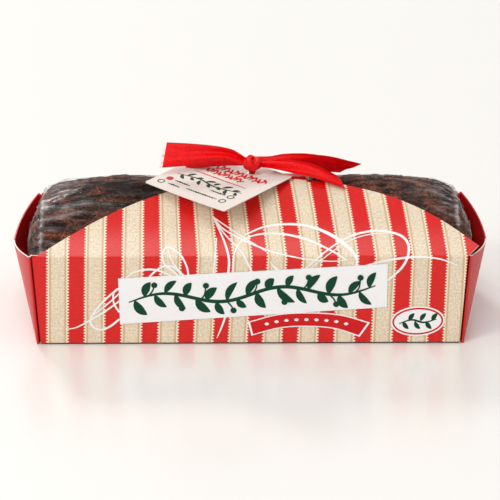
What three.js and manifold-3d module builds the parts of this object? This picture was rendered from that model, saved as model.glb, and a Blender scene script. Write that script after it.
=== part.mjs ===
// A fruit cake loaf in clear film. It stands in a folded card carton whose two bowed lid flaps meet at a ridge,
// where a satin ribbon ties them and holds a square card tag.
// Millimetres, +Z up. The origin is the middle of the carton's underside, and the printed front faces -Y.
import * as THREE from "three";
import { ConvexGeometry } from "three/addons/geometries/ConvexGeometry.js";
import { mergeVertices } from "three/addons/utils/BufferGeometryUtils.js";
import Module from "manifold-3d";

// Carton
const baseLength = 206;
const cartonDepth = 82;
const wallHeight = 46.5;
const creaseLength = 212;
const endReach = 117.2; // from the centre to the fold in the middle of each end
const endMiddleHeight = 38;
const ridgeHeight = 70.9;
// How far each lid flap's middle stands off the straight line from its crease to the ridge
const frontFlapBow = 3;
const backFlapBow = 4.2;
const cardThickness = 0.7;
const glueFlangeWidth = 15;

// Lid flap outline, along the crease and up the flap
const flapStart = 1.4; // from the left end of the crease to the start of the flap
const flapPeakX = 3.4;
const leftShoulder = { reach: 14, angle: 29, easing: 46 };
const rightShoulder = { reach: 12.4, angle: 34, easing: 67 };
const flapTip = { beyond: 4.7, up: 5.7 }; // the right-hand tip, past the end of the crease
const flapRows = 30;
const flapPeakLevel = 0.02; // how far under its curve's peak a flap's top edge is cut level
const backFlapGap = 1.5; // from the back flap's top edge to the ridge

// Wrapped cake
const cakeBaseGap = 0.4;
const cakeHalfWidth = 39.1;
const cakeFoot = 100.6; // half-length at the underside
const cakeBelly = 107.6; // half-length where the dome starts
const domeStart = 44;
const plumpCorner = 11;
// At stations from the middle to the end: the crown's height, and how square the dome is at the front and back
const crownStations = [
  { x: 0, crown: 67.8, front: 1.75, back: 1.8 },
  { x: 40, crown: 67.9, front: 1.6, back: 1.7 },
  { x: 57, crown: 70.1, front: 1.25, back: 1.6 },
  { x: 77, crown: 69.4, front: 1.5, back: 1.9 },
  { x: 93, crown: 65.6, front: 1.8, back: 2.2 },
  { x: 103, crown: 59.5, front: 2.6, back: 2.6 },
  { x: cakeBelly, crown: 50, front: 3, back: 3 },
];
const cakeRows = 25; // stations from the middle of the cake to one end
const cakeColumns = 24;

// Ribbon and tag
const ribbonWidth = 12.7;
const ribbonThickness = 0.5;
const slotReach = 29.3; // from the centre to each ribbon slot
const slotWidth = 2.6;
const knotCentre = new THREE.Vector3(0.8, 3, 77.5);
const knotRadii = new THREE.Vector3(4, 4.1, 3.9);
const neckRadius = 1.5;
const tagSide = 51.4;
const tagThickness = 0.4;
const tagCorner = 1.2;
const tagHoleRadius = 2.4;
const tagCentre = new THREE.Vector3(-15.2, -4.6, 71.9);
const tagTurn = -40.5; // degrees, seen from above
const tagTilt = 2.4; // degrees, the back edge raised

const wasm = await Module();
wasm.setup();

/** A closed geometry as a solid that can be joined and cut. */
function solidOf(geometry) {
  const bare = geometry.clone();
  bare.deleteAttribute("normal");
  bare.deleteAttribute("uv");
  const merged = mergeVertices(bare, 1e-4);
  return new wasm.Manifold(
    new wasm.Mesh({
      numProp: 3,
      vertProperties: merged.attributes.position.array,
      triVerts: new Uint32Array(merged.index.array),
    }),
  );
}

/** A joined or cut solid as a geometry again. */
function geometryOf(solid) {
  const mesh = solid.getMesh();
  const geometry = new THREE.BufferGeometry();
  geometry.setAttribute("position", new THREE.BufferAttribute(mesh.vertProperties, 3));
  geometry.setIndex(new THREE.BufferAttribute(mesh.triVerts, 1));
  geometry.computeVertexNormals();
  return geometry;
}

/** The union of a list of closed geometries. */
function joined(geometries) {
  return geometries.map(solidOf).reduce((whole, piece) => whole.add(piece));
}

/** A closed solid between two grids of points that match: an upper skin, a lower skin and the rim between them. */
function solidBetween(upper, lower) {
  const rows = upper.length;
  const columns = upper[0].length;
  const points = [...upper.flat(), ...lower.flat()];
  const top = (i, j) => i * columns + j;
  const bottom = (i, j) => (rows + i) * columns + j;
  const triangles = [];
  const quad = (a, b, c, d) => triangles.push(a, b, c, a, c, d);
  for (let i = 0; i < rows - 1; i++) {
    for (let j = 0; j < columns - 1; j++) {
      quad(top(i, j), top(i + 1, j), top(i + 1, j + 1), top(i, j + 1));
      quad(bottom(i, j), bottom(i, j + 1), bottom(i + 1, j + 1), bottom(i + 1, j));
    }
    const last = columns - 1;
    quad(top(i, 0), bottom(i, 0), bottom(i + 1, 0), top(i + 1, 0));
    quad(top(i + 1, last), bottom(i + 1, last), bottom(i, last), top(i, last));
  }
  for (let j = 0; j < columns - 1; j++) {
    const last = rows - 1;
    quad(top(0, j), top(0, j + 1), bottom(0, j + 1), bottom(0, j));
    quad(bottom(last, j), bottom(last, j + 1), top(last, j + 1), top(last, j));
  }
  const geometry = new THREE.BufferGeometry().setFromPoints(points);
  geometry.setIndex(triangles);
  geometry.computeVertexNormals();
  return geometry;
}

/** A flat card panel: its outer corners, going round so that the first three turn about the outward side. */
function panel(corners) {
  const across = corners[1].clone().sub(corners[0]);
  const inward = corners[2].clone().sub(corners[0]).cross(across).setLength(cardThickness);
  return new ConvexGeometry([...corners, ...corners.map((c) => c.clone().add(inward))]);
}

/** A wall, whose inner top edge rises into the card of the lid flap that folds from it. */
function wallPanel(corners) {
  const rise = 0.3;
  const inner = corners.map((c) => {
    const bevel = c.z > 0 ? rise : 0;
    return new THREE.Vector3(c.x, c.y - Math.sign(c.y) * cardThickness, c.z + bevel);
  });
  return new ConvexGeometry([...corners, ...inner]);
}

const mirrorX = new THREE.Vector3(-1, 1, 1);
const mirrorY = new THREE.Vector3(1, -1, 1);

/** The corners of a panel on the other side of the carton, still going round the outward side. */
function mirrored(corners, mirror) {
  return corners.map((c) => c.clone().multiply(mirror)).reverse();
}

/** The front or back wall's corners, from the foot's left end round to the crease's. */
function wallCorners() {
  const cutEdge = 0.4; // the wall stops just short of the corner, where the end's card turns behind it
  const foot = baseLength / 2 - cutEdge;
  const crease = creaseLength / 2 - cutEdge;
  const face = -cartonDepth / 2;
  return [
    new THREE.Vector3(-foot, face, 0),
    new THREE.Vector3(foot, face, 0),
    new THREE.Vector3(crease, face, wallHeight),
    new THREE.Vector3(-crease, face, wallHeight),
  ];
}

/** The right end: two gussets, the triangle between them, and the flanges that are glued behind the walls. */
function endPanels() {
  const side = cartonDepth / 2 - cardThickness;
  const footFront = new THREE.Vector3(baseLength / 2, -side, 0);
  const topFront = new THREE.Vector3(creaseLength / 2, -side, wallHeight);
  const footBack = footFront.clone().multiply(mirrorY);
  const middle = new THREE.Vector3(endReach, 0, endMiddleHeight);
  const back = new THREE.Vector3(-glueFlangeWidth, 0, 0);
  const gusset = [footFront, middle, topFront];
  const flange = [footFront.clone().add(back), footFront, topFront, topFront.clone().add(back)];
  return [
    gusset,
    mirrored(gusset, mirrorY),
    [footFront, footBack, middle],
    flange,
    mirrored(flange, mirrorY),
  ];
}

/** The bowed line that a lid flap follows from its crease to the ridge, as an arc in the Y-Z plane. */
function flapArc(bow) {
  const run = cartonDepth / 2;
  const rise = ridgeHeight - wallHeight;
  const chord = Math.hypot(run, rise);
  const radius = chord ** 2 / (8 * bow) + bow / 2;
  const halfAngle = Math.asin(chord / 2 / radius);
  const startAngle = Math.atan2(rise, run) + halfAngle;
  return { radius, startAngle, length: 2 * radius * halfAngle };
}

/** A point of a flap on its arc, u along the crease and v up the bow, set in by a depth under its outer face. */
function flapPoint(arc, u, v, depth) {
  const angle = arc.startAngle - v / arc.radius;
  const radius = arc.radius - depth;
  return new THREE.Vector3(
    u,
    -cartonDepth / 2 + arc.radius * Math.sin(arc.startAngle) - radius * Math.sin(angle),
    wallHeight - arc.radius * Math.cos(arc.startAngle) + radius * Math.cos(angle),
  );
}

/** The curve of one shoulder of a lid flap, from its foot up to the peak. */
function shoulderCurve(foot, peak, shoulder) {
  const side = Math.sign(peak.x - foot.x);
  const angle = THREE.MathUtils.degToRad(shoulder.angle);
  const leaving = new THREE.Vector2(side * Math.cos(angle), Math.sin(angle)).multiplyScalar(shoulder.reach);
  return new THREE.CubicBezierCurve(
    foot,
    leaving.add(foot),
    new THREE.Vector2(peak.x - side * shoulder.easing, peak.y),
    peak,
  );
}

/** Where a curve that only climbs reaches a height. */
function acrossAt(curve, height) {
  let low = 0;
  let high = 1;
  for (let halving = 0; halving < 40; halving++) {
    const middle = (low + high) / 2;
    if (curve.getPoint(middle).y < height) low = middle;
    else high = middle;
  }
  return curve.getPoint(low).x;
}

/** A lid flap on its arc: level rows from the crease up to the peak, each as wide as the outline there. */
function lidFlap(arc, peakHeight, leftAt, rightAt) {
  const skin = (depth) =>
    Array.from({ length: flapRows + 1 }, (_, i) => {
      const v = (peakHeight - flapPeakLevel) * (1 - (1 - i / flapRows) ** 2);
      return [flapPoint(arc, rightAt(v), v, depth), flapPoint(arc, leftAt(v), v, depth)];
    });
  return solidBetween(skin(0), skin(cardThickness));
}

/** The front flap, with a low shoulder at the left and a pointed one that overhangs at the right. */
function frontFlap() {
  const arc = flapArc(frontFlapBow);
  const creaseEnd = creaseLength / 2;
  const peak = new THREE.Vector2(flapPeakX, arc.length);
  const left = shoulderCurve(new THREE.Vector2(flapStart - creaseEnd, 0), peak, leftShoulder);
  const right = shoulderCurve(new THREE.Vector2(creaseEnd + flapTip.beyond, flapTip.up), peak, rightShoulder);
  const rightAt = (v) =>
    v < flapTip.up ? creaseEnd + (flapTip.beyond * v) / flapTip.up : acrossAt(right, v);
  return lidFlap(arc, arc.length, (v) => acrossAt(left, v), rightAt);
}

/** The back flap, with the same low shoulder at both ends. */
function backFlap() {
  const arc = flapArc(backFlapBow);
  const height = arc.length - backFlapGap;
  const foot = new THREE.Vector2(creaseLength / 2 - flapStart, 0);
  const shoulder = shoulderCurve(foot, new THREE.Vector2(0, height), leftShoulder);
  const halfWidthAt = (v) => acrossAt(shoulder, v);
  return lidFlap(arc, height, (v) => -halfWidthAt(v), halfWidthAt).rotateZ(Math.PI);
}

/** The cutter for one ribbon slot, across the ridge. */
function slotCutter(side) {
  const overFront = 3;
  const length = overFront + ribbonWidth + 3;
  const height = 16;
  const cutter = new THREE.BoxGeometry(slotWidth, length, height);
  return cutter.translate(side * slotReach, length / 2 - overFront, ridgeHeight);
}

/** The carton: one folded and glued board with its slots cut. */
function cartonGeometry() {
  const wall = wallCorners();
  const base = [
    new THREE.Vector3(-baseLength / 2, cartonDepth / 2, 0),
    new THREE.Vector3(baseLength / 2, cartonDepth / 2, 0),
    new THREE.Vector3(baseLength / 2, -cartonDepth / 2, 0),
    new THREE.Vector3(-baseLength / 2, -cartonDepth / 2, 0),
  ];
  const rightEnd = endPanels();
  const leftEnd = rightEnd.map((corners) => mirrored(corners, mirrorX));
  const walls = [wall, mirrored(wall, mirrorY)].map(wallPanel);
  const panels = [base, ...rightEnd, ...leftEnd].map(panel);
  const folded = joined([...walls, ...panels, frontFlap(), backFlap()]);
  return geometryOf(
    folded.subtract(solidOf(slotCutter(-1))).subtract(solidOf(slotCutter(1))),
  );
}

/** A value read between the crown's stations, smoothly, at a distance from the middle. */
function alongCrown(key, distance) {
  const next = Math.max(1, crownStations.findIndex(({ x }) => x >= distance - 1e-6));
  const from = crownStations[next - 1];
  const to = crownStations[next];
  const t = THREE.MathUtils.smoothstep(distance, from.x, to.x);
  return THREE.MathUtils.lerp(from[key], to[key], t);
}

/** The wrapped cake: cross-sections along X, each with a flat foot, upright sides and a dome. */
function cakeGeometry() {
  const foot = cardThickness + cakeBaseGap;
  const distances = Array.from(
    { length: cakeRows },
    (_, i) => cakeBelly * Math.sin(((i / (cakeRows - 1)) * Math.PI) / 2),
  );
  const stations = [...distances.slice(1).reverse().map((d) => -d), ...distances];
  const sections = stations.map((x) => {
    const distance = Math.abs(x);
    const intoCorner = Math.max(0, distance - (cakeBelly - plumpCorner));
    const halfWidth = cakeHalfWidth - plumpCorner + Math.sqrt(plumpCorner ** 2 - intoCorner ** 2);
    const lean = Math.max(0, distance - cakeFoot) / (cakeBelly - cakeFoot);
    const low = foot + (domeStart - foot) * lean;
    const crown = alongCrown("crown", distance);
    const squareness = [alongCrown("front", distance), alongCrown("back", distance)];
    const rim = domeStart + 0.5;
    const upper = [];
    const lower = [];
    for (let j = 0; j <= cakeColumns; j++) {
      const across = -Math.cos((j / cakeColumns) * Math.PI);
      const power = across < 0 ? squareness[0] : squareness[1];
      const y = across * halfWidth;
      upper.push(new THREE.Vector3(x, y, rim + (crown - rim) * (1 - Math.abs(across) ** power)));
      lower.push(new THREE.Vector3(x, y, low));
    }
    return { upper, lower };
  });
  return solidBetween(
    sections.map(({ upper }) => upper),
    sections.map(({ lower }) => lower),
  );
}

/** A strip of ribbon along a smooth line: at each point its place, the way its width runs, and its width. */
function ribbonStrip(points, across, widths, steps = 10) {
  const line = new THREE.CatmullRomCurve3(points);
  const skin = (side) =>
    Array.from({ length: steps + 1 }, (_, i) => {
      const t = i / steps;
      const at = line.getPoint(t);
      const place = t * (widths.length - 1);
      const index = Math.min(widths.length - 2, Math.floor(place));
      const half = THREE.MathUtils.lerp(widths[index], widths[index + 1], place - index) / 2;
      const face = line.getTangent(t).cross(across).normalize();
      const raised = face.multiplyScalar((side * ribbonThickness) / 2);
      return [-half, half].map((reach) => at.clone().addScaledVector(across, reach).add(raised));
    });
  return solidBetween(skin(1), skin(-1));
}

/** The ribbon's band along the ridge, lying on the back flap and dipping through the slot at each end. */
function ridgeBand() {
  const slope = Math.atan(0.275);
  const across = new THREE.Vector3(0, Math.cos(slope), -Math.sin(slope));
  const frontEdge = new THREE.Vector3(0, 2, ridgeHeight + ribbonThickness / 2);
  const middle = frontEdge.addScaledVector(across, ribbonWidth / 2);
  const dip = 2.2;
  const bend = 1.3;
  // Each end, from the slot inwards: how far in, and how far below the band's own line
  const end = [
    [0, dip],
    [0, dip / 2],
    [bend / 3, 0.2],
    [bend, 0],
    [slotReach / 3, 0],
    [(slotReach * 2) / 3, 0],
  ];
  const at = (x, down) => middle.clone().add(new THREE.Vector3(x, 0, -down));
  const left = end.map(([inwards, down]) => at(inwards - slotReach, down));
  const right = end.map(([inwards, down]) => at(slotReach - inwards, down)).reverse();
  return ribbonStrip([...left, at(0, 0), ...right], across, [ribbonWidth, ribbonWidth], 48);
}

/** The ribbon: the knot on its neck, the band along the ridge, the loose ends and the fold under the left one. */
function ribbonGeometry() {
  const gathered = 5.5;
  const knot = new THREE.SphereGeometry(1, 20, 14).rotateX(Math.PI / 2);
  knot.scale(knotRadii.x, knotRadii.y, knotRadii.z).translate(knotCentre.x, knotCentre.y, knotCentre.z);
  const neckLength = knotCentre.z - ridgeHeight + 0.3;
  const neck = new THREE.CylinderGeometry(neckRadius, neckRadius, neckLength, 12).rotateX(Math.PI / 2);
  neck.translate(knotCentre.x, knotCentre.y + 1, knotCentre.z - neckLength / 2);
  const upright = new THREE.Vector3(0, 0.4, 0.92).normalize();
  const leftTail = ribbonStrip(
    [
      knotCentre.clone(),
      new THREE.Vector3(-10, 3.5, 80.5),
      new THREE.Vector3(-22, 4, 81.8),
      new THREE.Vector3(-32, 4.2, 81.6),
      new THREE.Vector3(-41.6, 4.5, 81),
    ],
    upright,
    [4, gathered, 9.5, 11.5, ribbonWidth],
  );
  const flat = new THREE.Vector3(0, 1, 0.05).normalize();
  const leftFold = ribbonStrip(
    [knotCentre.clone(), new THREE.Vector3(-10, 8, 76.4), new THREE.Vector3(-22, 12, 75), new THREE.Vector3(-31, 14, 74.8)],
    flat,
    [4, 6, 8, 8],
  );
  const leaning = new THREE.Vector3(0.1, 0.97, 0.2).normalize();
  const rightTail = ribbonStrip(
    [
      knotCentre.clone(),
      new THREE.Vector3(10, 1.8, 78),
      new THREE.Vector3(22, 1, 77),
      new THREE.Vector3(33, -2, 74.6),
      new THREE.Vector3(46, -5, 71.9),
    ],
    leaning,
    [5, gathered, 11, ribbonWidth, ribbonWidth],
  );
  const backTail = ribbonStrip(
    [
      knotCentre.clone(),
      new THREE.Vector3(9, 6, 78.4),
      new THREE.Vector3(20, 8, 77.6),
      new THREE.Vector3(34, 9, 75.6),
      new THREE.Vector3(52, 9, 73),
    ],
    leaning,
    [5, gathered, 11, ribbonWidth, ribbonWidth],
  );
  return geometryOf(joined([knot, neck, ridgeBand(), leftTail, leftFold, rightTail, backTail]));
}

/** The card tag: a square with small round corners and the hole that the ribbon's neck passes through. */
function tagGeometry() {
  const half = tagSide / 2;
  const inner = half - tagCorner;
  const outline = new THREE.Shape();
  outline.absarc(inner, inner, tagCorner, 0, Math.PI / 2);
  outline.absarc(-inner, inner, tagCorner, Math.PI / 2, Math.PI);
  outline.absarc(-inner, -inner, tagCorner, Math.PI, Math.PI * 1.5);
  outline.absarc(inner, -inner, tagCorner, Math.PI * 1.5, Math.PI * 2);
  const turn = THREE.MathUtils.degToRad(-tagTurn);
  const neck = new THREE.Vector2(knotCentre.x - tagCentre.x, knotCentre.y + 1 - tagCentre.y);
  neck.rotateAround(new THREE.Vector2(), turn);
  const hole = new THREE.Path();
  hole.absarc(neck.x, neck.y, tagHoleRadius, 0, Math.PI * 2, true);
  outline.holes.push(hole);
  const settings = { depth: tagThickness, bevelEnabled: false, curveSegments: 6 };
  return new THREE.ExtrudeGeometry(outline, settings).translate(0, 0, -tagThickness / 2);
}

const finishes = {
  carton: new THREE.MeshStandardMaterial({ color: 0xc8141b, roughness: 0.4, metalness: 0 }),
  cake: new THREE.MeshStandardMaterial({ color: 0x2e1b15, roughness: 0.35, metalness: 0 }),
  ribbon: new THREE.MeshStandardMaterial({ color: 0xc20f1e, roughness: 0.45, metalness: 0 }),
  tag: new THREE.MeshStandardMaterial({ color: 0xf4efec, roughness: 0.6, metalness: 0 }),
};

/** A named mesh in its finish. */
function piece(name, geometry, finish) {
  const mesh = new THREE.Mesh(geometry, finish);
  mesh.name = name;
  return mesh;
}

const tag = piece("tag", tagGeometry(), finishes.tag);
tag.position.copy(tagCentre);
tag.rotation.set(THREE.MathUtils.degToRad(tagTilt), 0, THREE.MathUtils.degToRad(tagTurn));

const pack = new THREE.Group();
pack.add(piece("carton", cartonGeometry(), finishes.carton));
pack.add(piece("wrapped_cake", cakeGeometry(), finishes.cake));
pack.add(piece("ribbon", ribbonGeometry(), finishes.ribbon));
pack.add(tag);

export default pack;
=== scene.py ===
"""A fruit cake loaf in clear film, in a striped card carton tied with a satin ribbon and a gift tag.

Lengths are in millimetres until a mesh is made, which turns them into metres.
The carton's length runs along X, its printed front faces -Y, and Z is up.
"""

import itertools
import logging
import math
from dataclasses import dataclass, field
from enum import Enum
from typing import Protocol, Sequence

import bmesh
import bpy
import numpy as np
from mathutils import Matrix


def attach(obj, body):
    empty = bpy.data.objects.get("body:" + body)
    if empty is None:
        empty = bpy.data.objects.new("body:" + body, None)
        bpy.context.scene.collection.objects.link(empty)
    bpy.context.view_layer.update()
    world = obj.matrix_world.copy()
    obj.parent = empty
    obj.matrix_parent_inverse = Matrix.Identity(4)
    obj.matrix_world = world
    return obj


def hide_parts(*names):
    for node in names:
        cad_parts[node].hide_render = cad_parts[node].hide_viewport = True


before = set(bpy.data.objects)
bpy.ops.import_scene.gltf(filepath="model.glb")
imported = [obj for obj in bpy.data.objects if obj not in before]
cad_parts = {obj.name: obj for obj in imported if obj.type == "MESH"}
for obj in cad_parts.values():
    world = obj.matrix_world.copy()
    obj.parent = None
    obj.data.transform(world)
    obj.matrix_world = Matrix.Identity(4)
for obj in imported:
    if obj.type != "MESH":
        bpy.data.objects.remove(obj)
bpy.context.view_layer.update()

LOG = logging.getLogger("loaf pack")
MM = 0.001
MERGE = 1e-6

Pair = tuple[float, float]
Triple = tuple[float, float, float]
Colour = tuple[float, float, float, float]
Piece = bpy.types.Object
Finish = bpy.types.Material
Socket = bpy.types.NodeSocket

# What feeds an input of a shader node, and how an input or an output is picked.
Source = Socket | float | Colour
Key = int | str


# ---------------------------------------------------------------- driving dimensions


@dataclass(frozen=True)
class CartonSizes:
    """The folded carton, from which the print, the cake and the film take their places.

    The tip is the corner that the front flap keeps beyond the right end, a little above the crease. The
    other shoulders start from a small notch. A wall stops short of the ends by a gap.
    """

    base_length: float = 206.0
    crease_length: float = 212.0
    depth: float = 82.0
    wall_height: float = 46.5
    ridge_height: float = 70.9
    end_reach: float = 117.2
    end_middle_height: float = 38.0
    card: float = 0.7
    front_bow: float = 3.0
    back_bow: float = 4.2
    back_gap: float = 1.5
    crease_softness: float = 0.8
    corner_turn: float = 1.2
    flange: float = 15.0
    flange_depth: float = 2.2
    foot_tuck: float = 1.0
    tip_beyond: float = 4.7
    tip_height: float = 5.7
    end_gap: float = 0.75
    notch: float = 1.4
    slot_reach: float = 29.3
    slot_width: float = 2.6

    @property
    def half_depth(self) -> float:
        """From the middle to the outer face of a long wall."""
        return self.depth / 2


@dataclass(frozen=True)
class CakeSizes:
    """The loaf: how far it reaches, and how high and round it is at stations from its middle."""

    half_width: float = 39.1
    foot_reach: float = 100.6
    belly_reach: float = 107.6
    foot_height: float = 1.1
    belly_height: float = 44.5
    plump_corner: float = 11.0
    distance: tuple[float, ...] = (0.0, 40.0, 57.0, 77.0, 93.0, 103.0, 107.6)
    crown: tuple[float, ...] = (68.4, 69.4, 70.2, 69.2, 65.8, 60.6, 52.0)
    front_squareness: tuple[float, ...] = (1.75, 1.6, 1.25, 1.5, 1.8, 2.6, 3.0)
    back_squareness: tuple[float, ...] = (2.2, 2.4, 2.3, 2.3, 2.7, 3.4, 3.6)


@dataclass(frozen=True)
class RibbonSizes:
    """The satin ribbon and its knot."""

    width: float = 12.7
    thickness: float = 0.28
    knot: Triple = (0.8, 3.0, 77.5)
    knot_radii: Triple = (4.0, 4.1, 3.9)
    knot_spread: Triple = (1.17, 1.0, 0.88)
    knot_shift: Triple = (0.5, 0.0, 0.0)
    neck: Triple = (1.2, 6.0, 70.9)
    neck_radius: float = 1.5
    neck_height: float = 5.2
    band_front: float = -1.2
    band_height: float = 71.45
    band_tuck: float = 0.45
    band_dip: float = 2.2


@dataclass(frozen=True)
class TagSizes:
    """The square gift tag that lies on the ridge, and the hole in it for the ribbon's neck."""

    side: float = 51.4
    thickness: float = 0.4
    corner: float = 1.2
    hole_radius: float = 2.4
    hole: Pair = (0.8, 4.0)
    centre: Triple = (-15.2, -4.6, 71.9)
    turn: float = -40.5
    tilt: float = 2.4
    bend: float = 0.35
    sag: float = 0.25


CARTON = CartonSizes()
CAKE = CakeSizes()
RIBBON = RibbonSizes()
TAG = TagSizes()


class Facing(Enum):
    """Which long side of the carton a face is on."""

    FRONT = -1
    BACK = 1


class End(Enum):
    """Which end of the carton."""

    LEFT = -1
    RIGHT = 1


class CardSide(Enum):
    """The sides of a folded card, numbered as its materials are."""

    OUTER = 0
    INNER = 1
    RIM = 2


# ---------------------------------------------------------------- mesh making


def quad_faces(rows: int, columns: int, rows_close: bool = False, columns_close: bool = False) -> np.ndarray:
    """Quads over a grid of points numbered row by row.

    Args:
        rows: how many rows of points there are.
        columns: how many points there are in a row.
        rows_close: True if the last row joins the first.
        columns_close: True if the last column joins the first.

    Returns:
        Four point numbers for each quad, turning from columns to rows.
    """
    row = np.arange(rows if rows_close else rows - 1)[:, None]
    column = np.arange(columns if columns_close else columns - 1)[None, :]
    next_row, next_column = (row + 1) % rows, (column + 1) % columns
    corners = (
        row * columns + column,
        row * columns + next_column,
        next_row * columns + next_column,
        next_row * columns + column,
    )
    return np.stack([np.broadcast_to(c, (row.size, column.size)) for c in corners], -1).reshape(-1, 4)


@dataclass
class Patch:
    """One sheet of quads over a grid of points, with the place of each point in a print."""

    points: np.ndarray
    print_at: np.ndarray | None = None
    rows_close: bool = False
    columns_close: bool = False

    def faces(self) -> np.ndarray:
        """The patch's quads."""
        return quad_faces(*self.points.shape[:2], self.rows_close, self.columns_close)


def mesh_from(
    name: str,
    patches: Sequence[Patch],
    finish: Finish | None = None,
    values: dict[str, np.ndarray] | None = None,
) -> Piece:
    """Make an object at the origin from patches, with points that coincide joined.

    Args:
        name: the object's name.
        patches: the sheets of quads, with points in millimetres.
        finish: its first material.
        values: named values for each point of all the patches, one after another.

    Returns:
        The new object, in the scene.
    """
    points = np.concatenate([p.points.reshape(-1, 3) for p in patches]) * MM
    starts = np.cumsum([0] + [p.points[..., 0].size for p in patches[:-1]])
    faces = np.concatenate([p.faces() + start for p, start in zip(patches, starts)])
    mesh = bpy.data.meshes.new(name)
    mesh.from_pydata(points.tolist(), [], faces.tolist())
    if patches[0].print_at is not None:
        print_at = np.concatenate([p.print_at.reshape(-1, 2) for p in patches]) * MM
        layer = mesh.uv_layers.new(name="print")
        layer.data.foreach_set("uv", print_at[faces.reshape(-1)].astype(np.float32).ravel())
    for key, value in (values or {}).items():
        attribute = mesh.attributes.new(key, "FLOAT", "POINT")
        attribute.data.foreach_set("value", np.asarray(value, np.float32).ravel())
    shell = bmesh.new()
    shell.from_mesh(mesh)
    bmesh.ops.remove_doubles(shell, verts=shell.verts, dist=MERGE)
    shell.to_mesh(mesh)
    shell.free()
    mesh.shade_smooth()
    if finish:
        mesh.materials.append(finish)
    made = bpy.data.objects.new(name, mesh)
    bpy.context.scene.collection.objects.link(made)
    return made


def settle(piece: Piece, sharp_angle: float = 35.0) -> None:
    """Turn a piece's modifiers into plain mesh, and keep edges over an angle sharp.

    Args:
        piece: the object to settle.
        sharp_angle: in degrees.
    """
    graph = bpy.context.evaluated_depsgraph_get()
    settled = bpy.data.meshes.new_from_object(piece.evaluated_get(graph))
    piece.modifiers.clear()
    piece.data = settled
    settled.shade_smooth()
    settled.set_sharp_from_angle(angle=math.radians(sharp_angle))


def give_thickness(piece: Piece, thickness: float, split: bool = False) -> None:
    """Give a surface a thickness on its inner side and close its rim.

    Args:
        piece: the surface, with its faces pointing out.
        thickness: in millimetres.
        split: True if the inner side and the rim have materials of their own, the second and third.
    """
    solid = piece.modifiers.new("thickness", "SOLIDIFY")
    solid.thickness = thickness * MM
    solid.offset = -1
    solid.use_even_offset = True
    solid.material_offset = CardSide.INNER.value if split else 0
    solid.material_offset_rim = CardSide.RIM.value if split else 0
    settle(piece)


def make_card(piece: Piece, outer: Finish, inner: Finish, rim: Finish) -> None:
    """Give a surface the carton card's thickness, and each of its sides a finish.

    Args:
        piece: the surface, with its faces pointing out.
        outer: the finish of its outer side.
        inner: the finish of its inner side.
        rim: the finish of its cut edges.
    """
    for finish in (outer, inner, rim):
        piece.data.materials.append(finish)
    give_thickness(piece, CARTON.card, split=True)


def dye_rim(piece: Piece, axis: int, low: float, high: float, side: CardSide) -> None:
    """Let the finish of another side run over the card's cut edges, over one stretch of the piece.

    Args:
        piece: the card.
        axis: along which the stretch is measured, 0 to 2 for X to Z.
        low: where the stretch starts, in millimetres.
        high: where it ends.
        side: whose finish the edges take.
    """
    faces = piece.data.polygons
    centres = np.empty(len(faces) * 3, np.float32)
    finishes = np.empty(len(faces), np.int32)
    faces.foreach_get("center", centres)
    faces.foreach_get("material_index", finishes)
    along = centres.reshape(-1, 3)[:, axis]
    dyed = (along > low * MM) & (along < high * MM) & (finishes == CardSide.RIM.value)
    faces.foreach_set("material_index", np.where(dyed, side.value, finishes).astype(np.int32))


def cut_away(piece: Piece, cutter: Piece) -> None:
    """Cut one closed piece out of another, and remove the cutter.

    Args:
        piece: what is cut.
        cutter: the closed piece to cut out of it.
    """
    cut = piece.modifiers.new("cut", "BOOLEAN")
    cut.operation = "DIFFERENCE"
    cut.solver = "EXACT"
    cut.material_mode = "TRANSFER"
    cut.object = cutter
    settle(piece)
    bpy.data.objects.remove(cutter)


def place_in_pack(piece: Piece, node: str) -> None:
    """Stand a piece for its part of the frame, and report it.

    Args:
        piece: the finished object.
        node: the frame's part that it replaces.
    """
    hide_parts(node)
    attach(piece, "root")
    LOG.info("%s: %d faces, for %s", piece.name, len(piece.data.polygons), node)


def lattice_noise(points: np.ndarray, size: float | Sequence[float], seed: int) -> np.ndarray:
    """Smooth random relief from -1 to 1, blended between random values at the corners of a lattice.

    Args:
        points: places in millimetres, the last axis x, y, z.
        size: the width of a lattice cell, in millimetres, or one for each axis.
        seed: picks the random values.

    Returns:
        A value for each place.
    """
    lattice = np.random.default_rng(seed).uniform(-1, 1, (32, 32, 32))
    place = points / np.asarray(size, float)
    cell = np.floor(place).astype(int)
    part = place - cell
    part = part * part * (3 - 2 * part)
    total = np.zeros(points.shape[:-1])
    for corner in itertools.product((0, 1), repeat=3):
        index = (cell + corner) % 32
        weight = np.prod(np.where(corner, part, 1 - part), axis=-1)
        total += weight * lattice[index[..., 0], index[..., 1], index[..., 2]]
    return total


def smooth_step(low: float, high: float, value: np.ndarray) -> np.ndarray:
    """From 0 at low to 1 at high, easing at both ends."""
    t = np.clip((value - low) / (high - low), 0, 1)
    return t * t * (3 - 2 * t)


def ridges(points: np.ndarray, size: Sequence[float], seed: int, narrow: float) -> np.ndarray:
    """Winding ridges of height 1 where smooth noise is zero, the narrower the higher the last value."""
    return 1 - np.abs(lattice_noise(points, size, seed)) * narrow


def bell(value: np.ndarray, middle: float, reach: float) -> np.ndarray:
    """A rounded bump of height 1 at its middle."""
    return np.exp(-(((value - middle) / reach) ** 2))


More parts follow.
